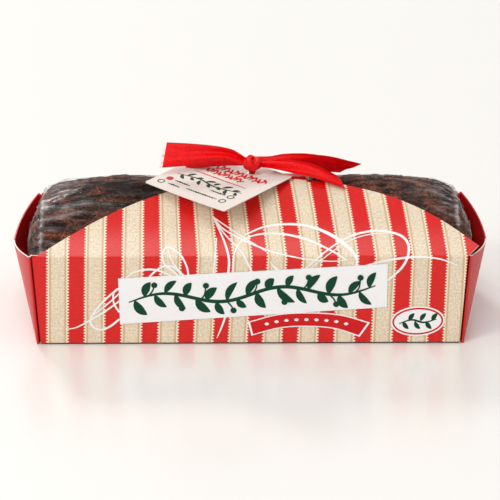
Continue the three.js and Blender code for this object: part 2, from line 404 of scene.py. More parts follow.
def through(points: np.ndarray, count: int) -> np.ndarray:
    """A smooth line through points, as a chain of Catmull-Rom pieces evenly spread by length.

    Args:
        points: the points to pass through, one a row.
        count: how many points the line has.

    Returns:
        The line's points, one a row.
    """
    knots = np.asarray(points, float)
    padded = np.vstack([2 * knots[0] - knots[1], knots, 2 * knots[-1] - knots[-2]])
    t = np.linspace(0, len(knots) - 1 - 1e-9, 24 * len(knots))
    piece = t.astype(int)
    f = (t - piece)[:, None]
    a, b, c, d = (padded[piece + k] for k in range(4))
    line = 0.5 * (2 * b + (c - a) * f + (2 * a - 5 * b + 4 * c - d) * f**2 + (3 * b - a - 3 * c + d) * f**3)
    run = np.r_[0, np.cumsum(np.linalg.norm(np.diff(line, axis=0), axis=1))]
    even = np.linspace(0, run[-1], count)
    return np.stack([np.interp(even, run, line[:, k]) for k in range(line.shape[1])], -1)


def points_of(*coordinates: np.ndarray) -> np.ndarray:
    """Points from their coordinates, each spread over the shape of them all."""
    return np.stack(np.broadcast_arrays(*coordinates), -1)


def full_turn(count: int) -> np.ndarray:
    """Angles evenly round a turn, without the last that closes it."""
    return np.linspace(0, 2 * math.pi, count + 1)[:-1]


def beside(line: np.ndarray) -> np.ndarray:
    """The direction to the left of a flat line, at each of its points."""
    along = unit(np.gradient(line, axis=0))
    return points_of(-along[:, 1], along[:, 0])


def turned(u: np.ndarray, v: np.ndarray, degrees: float) -> tuple[np.ndarray, np.ndarray]:
    """Flat places turned about the origin, from u towards v."""
    angle = math.radians(degrees)
    return u * math.cos(angle) - v * math.sin(angle), u * math.sin(angle) + v * math.cos(angle)


def unit(vectors: np.ndarray) -> np.ndarray:
    """Vectors at length 1, with a zero vector left at zero."""
    return vectors / np.maximum(np.linalg.norm(vectors, axis=-1, keepdims=True), 1e-9)


# ---------------------------------------------------------------- finishes


def tone(red: int, green: int, blue: int) -> Colour:
    """A display colour, 0 to 255 a channel, as the linear colour that a shader takes.

    Args:
        red: the red channel.
        green: the green channel.
        blue: the blue channel.

    Returns:
        The colour, with full opacity.
    """
    shown = np.array((red, green, blue)) / 255
    linear = np.where(shown <= 0.04045, shown / 12.92, ((shown + 0.055) / 1.055) ** 2.4)
    return (*linear.tolist(), 1.0)


@dataclass
class Wiring:
    """Puts shader nodes into one tree and joins them."""

    tree: bpy.types.NodeTree

    def node(self, kind: str, **settings: object) -> bpy.types.Node:
        """Add a node of a kind with settings.

        Args:
            kind: its type, less the part that all shader nodes share.
            settings: its properties.

        Returns:
            The node.
        """
        made = self.tree.nodes.new("ShaderNode" + kind)
        for key, value in settings.items():
            setattr(made, key, value)
        return made

    def feed(self, socket: Socket, source: Source) -> None:
        """Join a source to a socket, or set the socket's own value.

        Args:
            socket: the input.
            source: an output to join, or a value.
        """
        if isinstance(source, Socket):
            self.tree.links.new(source, socket)
        else:
            socket.default_value = source

    def result(self, kind: str, output: Key, inputs: dict[Key, Source], **settings: object) -> Socket:
        """Add a node with its inputs joined or set.

        Args:
            kind: the node's type, as for node.
            output: which of its outputs is wanted.
            inputs: a source for each of its inputs, by name or number.
            settings: its properties.

        Returns:
            The output.
        """
        made = self.node(kind, **settings)
        for key, source in inputs.items():
            self.feed(made.inputs[key], source)
        return made.outputs[output]

    def math(self, operation: str, first: Source, second: Source = 0.0) -> Socket:
        """The result of a sum on one or two values."""
        return self.result("Math", 0, {0: first, 1: second}, operation=operation)

    def plus(self, first: Source, second: Source) -> Socket:
        """Two values added."""
        return self.math("ADD", first, second)

    def minus(self, first: Source, second: Source) -> Socket:
        """The first value less the second."""
        return self.math("SUBTRACT", first, second)

    def times(self, first: Source, second: Source) -> Socket:
        """Two values multiplied."""
        return self.math("MULTIPLY", first, second)

    def wave(self, place: Source, pitch: float) -> Socket:
        """A sine wave along a coordinate, its pitch in the coordinate's unit."""
        return self.math("SINE", self.times(place, 2 * math.pi / pitch))

    def ramp(self, value: Source, low: float, high: float) -> Socket:
        """A value brought smoothly from low..high to 0..1 and held there."""
        inputs = {"Value": value, "From Min": low, "From Max": high}
        return self.result("MapRange", "Result", inputs, interpolation_type="SMOOTHSTEP")

    def blend(self, share: Source, first: Source, second: Source) -> Socket:
        """A colour between two colours, by the share of the second."""
        return self.result("Mix", 2, {0: share, 6: first, 7: second}, data_type="RGBA")

    def scaled(self, colour: Source, factor: Source) -> Socket:
        """A colour made lighter or darker by a factor."""
        channels = colour[:3] if isinstance(colour, tuple) else colour
        return self.result("VectorMath", 0, {0: channels, "Scale": factor}, operation="SCALE")

    def noise(self, place: Source, scale: float, detail: float = 2.0, roughness: float = 0.5) -> Socket:
        """Smooth noise around 0.5, at a scale in cells a metre and with finer layers of some strength."""
        inputs = {"Vector": place, "Scale": scale, "Detail": detail, "Roughness": roughness}
        return self.result("TexNoise", "Fac", inputs)

    def stretched(self, place: Source, *scale: float) -> Socket:
        """Coordinates multiplied axis by axis, which stretches a pattern where the scale is under 1."""
        return self.result("Mapping", 0, {"Vector": place, "Scale": scale})


@dataclass
class Dressing(Wiring):
    """The wiring of one material with a Principled shader."""

    material: Finish
    shader: bpy.types.Node
    output: bpy.types.Node

    @classmethod
    def called(cls, name: str) -> "Dressing":
        """A new material of a name, ready to be wired.

        Args:
            name: the material's name.

        Returns:
            Its wiring.
        """
        material = bpy.data.materials.new(name)
        material.use_nodes = True
        nodes = material.node_tree.nodes
        return cls(material.node_tree, material, nodes["Principled BSDF"], nodes["Material Output"])

    def put(self, **sources: Source) -> None:
        """Set or join the shader's sockets, named with underscores for spaces."""
        for key, source in sources.items():
            self.feed(self.shader.inputs[key.replace("_", " ")], source)

    def bump(self, height: Source, distance: float) -> None:
        """Give the shader a relief, its depth in millimetres."""
        self.put(Normal=self.result("Bump", 0, {"Distance": distance * MM, "Height": height}))

    def uv(self) -> Socket:
        """The piece's own flat coordinates, in metres."""
        return self.node("UVMap", uv_map="print").outputs[0]

    def print_place(self) -> tuple[Socket, Socket]:
        """The piece's own flat coordinates one by one, in millimetres.

        Returns:
            The first coordinate and the second.
        """
        split = self.node("SeparateXYZ")
        self.feed(split.inputs[0], self.uv())
        return self.times(split.outputs[0], 1 / MM), self.times(split.outputs[1], 1 / MM)

    def place(self) -> Socket:
        """The object's coordinates, in metres."""
        return self.node("TexCoord").outputs["Object"]

    def value_of(self, name: str) -> Socket:
        """A value that the piece's mesh carries at its points."""
        return self.node("Attribute", attribute_name=name).outputs["Fac"]


def fibre_group() -> bpy.types.NodeTree:
    """The faint mottling and tooth of pressed paper, shared by every card finish.

    Returns:
        The group, which is built the first time.
    """
    name = "paper fibre"
    found = bpy.data.node_groups.get(name)
    if found:
        return found
    group = bpy.data.node_groups.new(name, "ShaderNodeTree")
    for label, way, kind in (
        ("Vector", "INPUT", "Vector"),
        ("Color", "INPUT", "Color"),
        ("Mottling", "INPUT", "Float"),
        ("Color", "OUTPUT", "Color"),
        ("Height", "OUTPUT", "Float"),
    ):
        group.interface.new_socket(label, in_out=way, socket_type=f"NodeSocket{kind}")
    wiring = Wiring(group)
    given = group.nodes.new("NodeGroupInput")
    taken = group.nodes.new("NodeGroupOutput")
    place = given.outputs["Vector"]
    coarse = wiring.noise(place, 900.0, 4.0, 0.6)
    fine = wiring.noise(wiring.stretched(place, 1.0, 0.5, 0.7), 3200.0)
    both = wiring.plus(wiring.times(coarse, 0.5), wiring.times(fine, 0.5))
    swing = wiring.times(wiring.minus(both, 0.5), wiring.times(given.outputs["Mottling"], 4.0))
    wiring.feed(taken.inputs["Color"], wiring.scaled(given.outputs["Color"], wiring.plus(swing, 1.0)))
    wiring.feed(taken.inputs["Height"], both)
    return group


def paper_fibre(dress: Dressing, colour: Source, mottling: float) -> tuple[Socket, Socket]:
    """Put the paper fibre group over a colour.

    Args:
        dress: the material's wiring.
        colour: the colour under the fibre.
        mottling: how far the colour swings.

    Returns:
        The mottled colour and the fibre's height.
    """
    made = dress.node("Group")
    made.node_tree = fibre_group()
    dress.feed(made.inputs["Vector"], dress.place())
    dress.feed(made.inputs["Color"], colour)
    made.inputs["Mottling"].default_value = mottling
    return made.outputs["Color"], made.outputs["Height"]


@dataclass(frozen=True)
class Card:
    """Plain card or paper in one colour."""

    name: str
    colour: Colour
    roughness: float = 0.55
    mottling: float = 0.03
    varnish: float = 0.0
    varnish_roughness: float = 0.18
    tooth: float = 0.02

    def material(self) -> Finish:
        """Build the finish.

        Returns:
            The material.
        """
        dress = Dressing.called(self.name)
        colour, height = paper_fibre(dress, self.colour, self.mottling)
        dress.put(Base_Color=colour, Roughness=self.roughness)
        dress.put(Coat_Weight=self.varnish, Coat_Roughness=self.varnish_roughness)
        dress.bump(height, self.tooth)
        return dress.material


@dataclass(frozen=True)
class AwningPrint:
    """Red stripes and ribbed cream bands with scalloped borders, printed to look woven, with a thin painted
    shadow along the wall's foot.

    Lengths are in millimetres of print. A strength is how far a pattern swings the colour under it.
    """

    name: str
    red: Colour
    cream: Colour
    border: Colour
    line: Colour
    # foot: the colour of the thin painted shadow where the wall's foot meets the table
    foot: Colour
    period: float = 17.5
    red_width: float = 7.9
    first_stripe: float = -105.4
    scallop: float = 1.56
    scallop_depth: float = 0.52
    border_width: float = 0.85
    line_width: float = 0.95
    line_share: float = 0.85
    foot_shadow_edge: Pair = (0.45, 1.0)
    weft_pitch: float = 0.62
    weft_strength: float = 0.05
    twill_pitch: float = 1.45
    twill_slant: float = 0.9
    twill_share: float = 0.45
    grain_share: float = 2.9
    weave_strength: float = 0.32
    border_strength: float = 0.04
    slub_strength: float = 0.8
    patch_strength: float = 0.16

    def material(self) -> Finish:
        """Build the finish from the distance to the middle of the nearest red stripe.

        Returns:
            The material.
        """
        dress = Dressing.called(self.name)
        across, along = dress.print_place()
        half = self.red_width / 2
        before_first = self.first_stripe + half - self.period / 2
        step = dress.math("FLOORED_MODULO", dress.minus(across, before_first), self.period)
        from_red = dress.math("ABSOLUTE", dress.minus(step, self.period / 2))
        scallops = dress.times(dress.wave(along, self.scallop), self.scallop_depth)
        past_edge = dress.ramp(dress.plus(from_red, scallops), half - 0.14, half + 0.14)
        wobble = dress.plus(from_red, dress.times(scallops, 0.3))
        border_end = half + self.border_width
        line_end = border_end + self.line_width
        before_line_end = dress.minus(1.0, dress.ramp(wobble, line_end - 0.2, line_end + 0.2))
        on_line = dress.times(dress.ramp(wobble, border_end - 0.25, border_end + 0.15), before_line_end)
        in_band = dress.ramp(wobble, border_end + 0.1, border_end + 0.5)
        cream_light, red_light, border_light = self._weave(dress, across, along)
        cream = self._lit(dress, self.cream, cream_light)
        border = self._lit(dress, self.border, border_light)
        ribbed = dress.blend(in_band, border, cream)
        band = dress.blend(dress.times(on_line, self.line_share), ribbed, self.line)
        stripes = dress.blend(past_edge, self._lit(dress, self.red, red_light), band)
        # A thin painted shadow along the wall's foot, where the card meets the table.
        above_foot_shadow = dress.ramp(along, *(edge - CARTON.wall_height for edge in self.foot_shadow_edge))
        colour, height = paper_fibre(dress, dress.blend(above_foot_shadow, self.foot, stripes), 0.02)
        dress.put(Base_Color=colour, Roughness=0.3, Specular_IOR_Level=0.38)
        dress.bump(height, 0.02)
        return dress.material

    def _weave(self, dress: Dressing, across: Source, along: Source) -> tuple[Socket, Socket, Socket]:
        """The printed weave: a twill of two crossed waves under grain, a fine weft, slubs and soft patches.

        Args:
            dress: the material's wiring.
            across: the place across the stripes.
            along: the place along them.

        Returns:
            How much lighter it makes the cream, the red and the border.
        """
        lean = dress.times(along, self.twill_slant)
        crossed = (dress.plus(across, lean), dress.minus(across, lean))
        twill = dress.times(*(dress.wave(way, self.twill_pitch) for way in crossed))
        grain = dress.minus(dress.noise(dress.stretched(dress.uv(), 1.0, 0.8, 1.0), 980.0, 2.0, 0.7), 0.5)
        weave = dress.plus(dress.times(twill, self.twill_share), dress.times(grain, self.grain_share))
        patchy = dress.times(dress.minus(dress.noise(dress.uv(), 60.0), 0.5), self.patch_strength)
        slub = dress.noise(dress.stretched(dress.uv(), 1.0, 4.0, 1.0), 420.0, 3.0, 0.6)
        slubs = dress.times(dress.minus(slub, 0.5), self.slub_strength)
        weft = dress.times(dress.wave(along, self.weft_pitch), self.weft_strength)
        cream_light = dress.plus(dress.times(weave, self.weave_strength), patchy)
        return cream_light, dress.plus(weft, slubs), dress.times(weave, self.border_strength)

    @staticmethod
    def _lit(dress: Dressing, colour: Colour, change: Source) -> Socket:
        """A colour made lighter or darker by a share."""
        return dress.scaled(colour, dress.plus(change, 1.0))


@dataclass(frozen=True)
class Crust:
    """Dark fruit cake crust: crumbs, glazed dark fruit and redder crumb where it is rough, with painted shade
    in its hollows.
    """

    name: str
    dark: Colour
    brown: Colour
    russet: Colour
    relief_depth: float = 1.5

    def material(self) -> Finish:
        """Build the finish, with painted shade in the hollows that the relief value marks.

        Returns:
            The material.
        """
        dress = Dressing.called(self.name)
        place = dress.place()
        streaks = dress.noise(dress.stretched(place, 0.3, 1.0, 1.0), 260.0, 5.0, 0.65)
        crumb = dress.noise(place, 900.0, 4.0, 0.65)
        pieces = dress.noise(dress.stretched(place, 0.6, 1.0, 1.0), 430.0)
        zone = dress.noise(place, 48.0)
        # Painted shade: the dark colour fills the hollows that the relief value marks, and noise streaks add
        # dark cracks.
        raised = dress.ramp(dress.value_of("relief"), -0.9, 0.6)
        crumb_out_of_shade = dress.times(raised, dress.ramp(streaks, 0.36, 0.5))
        red_zone = dress.times(dress.ramp(pieces, 0.46, 0.62), dress.ramp(zone, 0.36, 0.56))
        red_share = dress.times(red_zone, dress.ramp(crumb, 0.4, 0.58))
        base = dress.blend(dress.ramp(crumb, 0.34, 0.66), self.dark, self.brown)
        colour = dress.blend(crumb_out_of_shade, self.dark, dress.blend(red_share, base, self.russet))
        roughness = dress.plus(dress.times(crumb, 0.4), 0.42)
        dress.put(Base_Color=colour, Roughness=roughness, Specular_IOR_Level=0.22)
        lumps = dress.plus(dress.times(crumb, 0.45), dress.times(pieces, 0.8))
        dress.bump(dress.plus(lumps, dress.times(streaks, 1.1)), self.relief_depth)
        return dress.material


@dataclass(frozen=True)
class ClearFilm:
    """Thin clear film: see-through, glossy, milky where it is crumpled, and whitened along its folds as a
    painted highlight.
    """

    name: str
    # milky: the colour of milky film, also laid along the folds as a painted highlight
    milky: Colour
    shine: Colour = (0.92, 0.92, 0.93, 1.0)
    clear: Colour = (0.96, 0.96, 0.965, 1.0)
    shine_roughness: float = 0.19
    smooth_gloss: float = 0.045
    fold_gloss: float = 0.9
    facet_haze_and_sheen: float = 0.65
    even_haze: float = 0.22
    relief_depth: float = 1.1

    def material(self) -> Finish:
        """Build the finish, milky by the piece's haze value, which also holds painted highlights along the
        film's folds.

        Returns:
            The material.
        """
        dress = Dressing.called(self.name)
        crinkle = dress.noise(dress.stretched(dress.place(), 0.22, 1.0, 1.0), 300.0, 3.0, 0.55)
        from_fold = dress.math("ABSOLUTE", dress.minus(crinkle, 0.5))
        fold = dress.minus(1.0, dress.ramp(from_fold, 0.0, 0.03))
        facets = dress.ramp(dress.noise(dress.stretched(dress.place(), 0.42, 1.0, 1.0), 300.0), 0.4, 0.56)
        # Milky share: milky film where it is bunched, and painted highlights along its folds.
        milk_and_sheen = dress.plus(dress.times(facets, self.facet_haze_and_sheen), self.even_haze)
        cloudy_and_sheen = dress.times(dress.value_of("haze_and_sheen"), milk_and_sheen)
        dress.put(Base_Color=self.milky, Roughness=0.3, Specular_IOR_Level=0.8)
        dress.bump(dress.plus(crinkle, dress.times(fold, 0.12)), self.relief_depth)
        relief = dress.shader.inputs["Normal"].links[0].from_socket
        gleam = {"Base Color": self.shine, "Metallic": 1.0, "Roughness": self.shine_roughness}
        shine = dress.result("BsdfPrincipled", 0, gleam | {"Normal": relief})
        clear = dress.result("BsdfTransparent", 0, {0: self.clear})
        fresnel = dress.result("Fresnel", 0, {"IOR": 1.5})
        gloss = dress.plus(dress.times(fold, self.fold_gloss), self.smooth_gloss)
        skin = dress.result("MixShader", 0, {0: dress.times(fresnel, gloss), 1: clear, 2: shine})
        bunched = dress.result("MixShader", 0, {0: cloudy_and_sheen, 1: skin, 2: dress.shader.outputs[0]})
        dress.feed(dress.output.inputs[0], bunched)
        return dress.material


@dataclass(frozen=True)
class Satin:
    """Red satin ribbon, with fine ribs across it and a soft sheen along it."""

    name: str
    colour: Colour
    edge: Colour
    rib_pitch: float = 0.42
    rib_height: float = 0.03
    shade: float = 0.72
    edge_from: float = 0.75
    edge_to: float = 0.45
    edge_share: float = 0.75

    def material(self) -> Finish:
        """Build the finish from the ribbon's own flat coordinates, along and across.

        Returns:
            The material.
        """
        dress = Dressing.called(self.name)
        along, across = dress.print_place()
        cloud = dress.noise(dress.stretched(dress.uv(), 1.0, 2.5, 1.0), 260.0, 3.0, 0.6)
        thread = dress.noise(dress.uv(), 950.0, 2.0, 0.6)
        grain = dress.plus(dress.times(cloud, 0.5), dress.times(thread, 0.5))
        shaded = (*(self.shade * c for c in self.colour[:3]), 1.0)
        body = dress.blend(dress.ramp(grain, 0.36, 0.62), shaded, self.colour)
        half = RIBBON.width / 2
        selvedge = dress.ramp(dress.math("ABSOLUTE", across), half - self.edge_from, half - self.edge_to)
        colour = dress.blend(dress.times(selvedge, self.edge_share), body, self.edge)
        roughness = dress.plus(dress.times(cloud, 0.16), 0.34)
        dress.put(Base_Color=colour, Roughness=roughness, Specular_IOR_Level=0.2)
        dress.put(Sheen_Weight=0.06, Sheen_Roughness=0.35, Sheen_Tint=tone(255, 90, 80))
        dress.bump(dress.wave(along, self.rib_pitch), self.rib_height)
        return dress.material


@dataclass(frozen=True)
class Clouded:
    """One plain colour, lightened and darkened a little by soft noise."""

    name: str
    colour: Colour
    scale: float
    swing: float
    roughness: float
    specular: float
    ior: float = 1.5

    def material(self) -> Finish:
        """Build the finish.

        Returns:
            The material.
        """
        dress = Dressing.called(self.name)
        cloud = dress.times(dress.noise(dress.place(), self.scale), self.swing)
        dress.put(Base_Color=dress.scaled(self.colour, dress.plus(cloud, 1.0 - self.swing / 2)))
        dress.put(Roughness=self.roughness, Specular_IOR_Level=self.specular, IOR=self.ior)
        return dress.material


def ink(name: str, colour: Colour) -> Finish:
    """Printed ink in one colour, a little uneven."""
    return Clouded(name, colour, scale=500.0, swing=0.08, roughness=0.5, specular=0.2).material()


@dataclass(frozen=True)
class Palette:
    """The finishes that the pack is made of, built once."""

    awning: Finish
    red_card: Finish
    red_inside: Finish
    cut_card: Finish
    label: Finish
    white_ink: Finish
    green_ink: Finish
    red_ink: Finish
    crust: Finish
    film: Finish
    satin: Finish
    thread: Finish
    tag: Finish

    @classmethod
    def mixed(cls) -> "Palette":
        """Build every finish.

        Returns:
            The palette.
        """
        crumb = (tone(34, 17, 11), tone(132, 76, 56), tone(172, 88, 54))
        stripes = {
            "red": tone(212, 18, 13),
            "cream": tone(225, 208, 183),
            "border": tone(245, 235, 213),
            "line": tone(196, 166, 118),
            # foot: the painted shadow along the wall's foot
            "foot": tone(64, 30, 20),
        }
        return cls(
            awning=AwningPrint("striped card", **stripes).material(),
            red_card=Card("red card", tone(196, 16, 12), 0.5, 0.03, 0.02).material(),
            red_inside=Card("red card inside", tone(214, 18, 20), 0.45).material(),
            cut_card=Card("cut card edge", tone(240, 232, 222), 0.7).material(),
            label=Card("label paper", tone(240, 239, 240), 0.5).material(),
            white_ink=ink("white ink", tone(243, 241, 240)),
            green_ink=ink("green ink", tone(0, 62, 40)),
            red_ink=ink("red ink", tone(204, 22, 26)),
            crust=Crust("fruit cake crust", *crumb).material(),
            film=ClearFilm("clear film", tone(212, 204, 202)).material(),
            satin=Satin("red satin", tone(248, 4, 13), tone(190, 3, 9)).material(),
            thread=ink("ribbon thread", tone(240, 150, 145)),
            tag=Card("tag card", tone(222, 213, 205), 0.5, 0.015, 0.05).material(),
        )


# ---------------------------------------------------------------- the carton


class Placing(Protocol):
    """A surface that things can be printed or stuck on."""

    def place(self, u: np.ndarray, v: np.ndarray, lift: float = 0.0) -> np.ndarray:
        """Points of the surface in millimetres, raised off it by lift."""


@dataclass(frozen=True)
class Shoulder:
    """One side of a lid flap's outline: a cubic Bezier curve from a foot on the crease to the peak.

    It leaves the foot at an angle in degrees with a handle of one reach, and comes level to the peak
    with a handle of the easing.
    """

    foot: Pair
    peak: Pair
    reach: float
    angle: float
    easing: float

    def across(self, height: np.ndarray) -> np.ndarray:
        """How far along the pack the outline is at heights above the crease.

        Args:
            height: the heights.

        Returns:
            A place along the pack for each.
        """
        side = math.copysign(1.0, self.peak[0] - self.foot[0])
        angle = math.radians(self.angle)
        foot, peak = np.array(self.foot), np.array(self.peak)
        after_foot = foot + self.reach * np.array((side * math.cos(angle), math.sin(angle)))
        before_peak = peak - np.array((side * self.easing, 0.0))
        t = np.linspace(0, 1, 2001)[:, None]
        lower = (1 - t) ** 3 * foot + 3 * t * (1 - t) ** 2 * after_foot
        curve = lower + 3 * t**2 * (1 - t) * before_peak + t**3 * peak
        return np.interp(height, curve[:, 1], curve[:, 0])


@dataclass
class FoldedFace:
    """A long wall, its soft crease and its bowed lid flap, developed as one strip.

    u runs along the pack and v up the strip, 0 at the crease.
    """

    facing: Facing
    bow: float
    heights: np.ndarray = field(init=False)
    outward: np.ndarray = field(init=False)
    upward: np.ndarray = field(init=False)
    lean: np.ndarray = field(init=False)
    length: float = field(init=False)

    def __post_init__(self) -> None:
        """Integrate the strip's slope: upright, easing round the crease, then an arc up to the ridge."""
        rise = CARTON.ridge_height - CARTON.wall_height
        chord = math.hypot(CARTON.half_depth, rise)
        radius = chord**2 / (8 * self.bow) + self.bow / 2
        half_angle = math.asin(chord / 2 / radius)
        start_angle = math.atan2(rise, CARTON.half_depth) + half_angle
        self.length = 2 * radius * half_angle
        step = 0.02
        self.heights = np.arange(-CARTON.wall_height, self.length + step, step)
        soft = smooth_step(-CARTON.crease_softness, CARTON.crease_softness, self.heights)
        flap_lean = start_angle - np.maximum(self.heights, 0) / radius
        self.lean = math.pi / 2 * (1 - soft) + flap_lean * soft
        self.outward = -CARTON.half_depth + np.r_[0, np.cumsum(np.cos(self.lean[:-1]) * step)]
        self.upward = np.r_[0, np.cumsum(np.sin(self.lean[:-1]) * step)]

    def place(self, u: np.ndarray, v: np.ndarray, lift: float = 0.0) -> np.ndarray:
        """Points of the strip, raised off its printed side by lift.

        Args:
            u: along the pack.
            v: up the strip, 0 at the crease.
            lift: how far off it the points are.

        Returns:
            The points.
        """
        lean = np.interp(v, self.heights, self.lean)
        tuck = CARTON.foot_tuck * (1 - smooth_step(0, 1.3 * CARTON.foot_tuck, v + CARTON.wall_height))
        y = np.interp(v, self.heights, self.outward) - lift * np.sin(lean) + tuck
        z = np.interp(v, self.heights, self.upward) + lift * np.cos(lean)
        return points_of(u, -self.facing.value * y, z)

    def roof_over(self, y: np.ndarray, depth: float) -> tuple[np.ndarray, np.ndarray]:
        """The flap above places across the pack.

        Args:
            y: the places, on this face's side of the ridge.
            depth: how far in from the flap's outer face to measure.

        Returns:
            The height of the flap there, and how far up the strip that is.
        """
        flap = self.heights > 0
        y_at = (self.outward + depth * np.sin(self.lean))[flap]
        z_at = (self.upward - depth * np.cos(self.lean))[flap]
        inward = -self.facing.value * y
        return np.interp(inward, y_at, z_at), np.interp(inward, y_at, self.heights[flap])

    def outline(self, heights: np.ndarray) -> tuple[np.ndarray, np.ndarray]:
        """The left and right ends of the strip, seen from its printed side, at heights up it.

        Args:
            heights: how far up the strip.

        Returns:
            Where it starts and where it ends at each height.
        """
        front = self.facing is Facing.FRONT
        corner = CARTON.crease_length / 2
        flare = (CARTON.crease_length - CARTON.base_length) / 2
        wall = CARTON.base_length / 2 - CARTON.end_gap
        wall = wall + flare * (heights + CARTON.wall_height) / CARTON.wall_height
        peak = (3.4, self.length) if front else (0.0, self.length - CARTON.back_gap + 0.02)
        low = Shoulder((CARTON.notch - corner, 0.0), peak, reach=14.0, angle=29.0, easing=46.0)
        eased = smooth_step(0.0, 0.8, heights)
        left = np.where(heights <= 0, -wall, low.across(heights) * eased - wall * (1 - eased))
        if not front:
            fuller = bell(heights, 30.0, 14.0)
            return left + 1.6 * fuller, -left - 0.5 * fuller
        tip = (corner + CARTON.tip_beyond, CARTON.tip_height)
        high = Shoulder(tip, peak, reach=12.4, angle=34.0, easing=67.0)
        lip = corner - CARTON.end_gap + (CARTON.tip_beyond + CARTON.end_gap) * heights / CARTON.tip_height
        flap = np.where(heights < CARTON.tip_height, lip, high.across(heights))
        return left, np.where(heights <= 0, wall, flap)


def print_place(u: np.ndarray, v: np.ndarray) -> np.ndarray:
    """Where a point of the front strip lies in the stripe print, which runs a little slanted and uneven.

    Args:
        u: along the pack.
        v: up the strip, 0 at the crease.

    Returns:
        The print's coordinates, across and along its stripes.
    """
    uneven = 2.2 * bell(u, -25, 38) + 0.9 * bell(u, 74, 22) - 1.1 * bell(u, -106, 10)
    wall_slant = 0.026 + 0.034 * bell(u, -3, 48)
    flap_slant = 0.06 + 0.065 * np.tanh((u + 30) / 22)
    slip = np.where(v < 0, wall_slant * v, -flap_slant * v)
    return points_of(u - uneven - slip, v)


@dataclass
class LongSide:
    """One long side of the carton: the wall, its crease and the lid flap that bows up to the ridge."""

    facing: Facing
    palette: Palette

    def build(self) -> FoldedFace:
        """Make the side from level rows, each as wide as the outline is at its height, and cut its slots.

        Returns:
            The strip that the side follows.
        """
        front = self.facing is Facing.FRONT
        face = FoldedFace(self.facing, CARTON.front_bow if front else CARTON.back_bow)
        top = face.length - (0.02 if front else CARTON.back_gap)
        soft, tip = CARTON.crease_softness, CARTON.tip_height
        foot = -CARTON.wall_height
        above_tuck = 1.5 * CARTON.foot_tuck - CARTON.wall_height
        spans = ((foot, above_tuck, 5), (above_tuck, -soft, 13), (-soft, soft, 9), (soft, tip, 6))
        easing_to_ridge = tip + (top - tip) * (1 - (1 - np.linspace(0, 1, 44)) ** 2)
        rows = np.unique(np.concatenate([*(np.linspace(*span) for span in spans), easing_to_ridge]))
        left, right = face.outline(rows)
        share = np.linspace(0, 1, 150)
        u = left[:, None] + (right - left)[:, None] * share[None, :]
        v = np.broadcast_to(rows[:, None], u.shape)
        mirrored = u if front else -u
        patch = Patch(face.place(mirrored, v), print_place(u, v))
        name = "front_side" if front else "back_side"
        side = mesh_from(name, [patch])
        make_card(side, self.palette.awning, self.palette.red_inside, self.palette.cut_card)
        dye_rim(side, 2, -math.inf, CARTON.wall_height, CardSide.INNER)
        for end in End:
            self._cut_slot(side, end)
        place_in_pack(side, "carton")
        return face

    def _cut_slot(self, side: Piece, end: End) -> None:
        """Cut the ribbon's slot across the ridge.

        Args:
            side: the finished side.
            end: which end of the ribbon's band it is for.
        """
        half = CARTON.slot_width / 2
        x = end.value * CARTON.slot_reach
        y_low, y_high = -3.0, RIBBON.width + 3.0
        z_low, z_high = CARTON.ridge_height - 8.0, CARTON.ridge_height + 8.0
        ring = np.array([(x - half, y_low), (x + half, y_low), (x + half, y_high), (x - half, y_high)])
        walls = np.stack([points_of(*ring.T, z) for z in (z_low, z_high)])
        middle = ring.mean(0)
        caps = np.stack([np.broadcast_to((*middle, z), (4, 3)) for z in (z_low, z_high)])
        points = np.concatenate([caps[:1], walls, caps[1:]])
        patch = Patch(points, points[..., :2], columns_close=True)
        cut_away(side, mesh_from("slot cutter", [patch], self.palette.cut_card))


@dataclass
class GussetEnd:
    """One end of the carton: flanges glued behind the walls, and gussets that flare out beside a triangle."""

    end: End
    palette: Palette
    bow: float = 1.8
    inset: float = 0.35

    def build(self) -> None:
        """Make the end as one card from the foot up, its columns running round from flange to flange.

        From the front, a row runs along the flange, tucks out to the corner, bends round it by a quadratic
        curve, crosses the gusset, which bulges by a parabola, to its fold, and ends at the middle. The back
        half mirrors it.
        """
        rise = np.linspace(0, 1, 26)[:, None, None]
        half = CARTON.half_depth - self.inset
        turn = CARTON.corner_turn
        foot = np.array((CARTON.base_length / 2 + turn, -half, 0.0))
        top = np.array((CARTON.crease_length / 2 + turn, -half, CARTON.wall_height))
        middle = np.array((CARTON.end_reach, 0.0, CARTON.end_middle_height))
        foot_middle = foot * (1, 0, 1)
        corner = foot + (top - foot) * rise
        fold = foot + (middle - foot) * rise
        ridge = foot_middle + (middle - foot_middle) * rise
        gusset_length = np.linalg.norm(fold - corner, axis=-1, keepdims=True)
        after = corner + unit(fold - corner) * np.minimum(turn, 0.5 * gusset_length)
        before = corner + np.array((-0.8 * turn, 0.5 * turn, 0))
        groove = corner + np.array((-1.2 * turn, CARTON.flange_depth, 0))
        start = corner + np.array((-CARTON.flange, CARTON.flange_depth, 0))
        t = np.linspace(0, 1, 8)[None, :, None]
        tuck = groove + (before - groove) * np.linspace(0, 1, 4)[None, :-1, None]
        inside = corner - np.array((0.3 * turn, 0, 0))
        bend = (1 - t) ** 2 * before + 2 * t * (1 - t) * inside + t**2 * after
        s = np.linspace(0, 1, 20)[None, 1:, None]
        gusset = after + (fold - after) * s
        bulge = self.bow * 4 * s * (1 - s) * rise**1.3
        gusset = gusset + bulge * np.array((0.95, -0.3, 0.1))
        triangle = fold + (ridge - fold) * np.linspace(0, 1, 12)[None, 1:, None]
        flange = start + (groove - start) * np.linspace(0, 1, 5)[None, :-1, None]
        front = np.concatenate([flange, tuck, bend, gusset, triangle], axis=1)
        back = front[:, -2::-1] * np.array((1, -1, 1))
        points = np.concatenate([front, back], axis=1) * np.array((self.end.value, 1, 1))
        if self.end is End.LEFT:
            points = points[:, ::-1]
        piece = mesh_from(f"{self.end.name.lower()}_end", [Patch(points, points[..., 1:])])
        make_card(piece, self.palette.red_card, self.palette.red_inside, self.palette.cut_card)
        dye_rim(piece, 1, 0.0, math.inf, CardSide.OUTER)
        place_in_pack(piece, "carton")


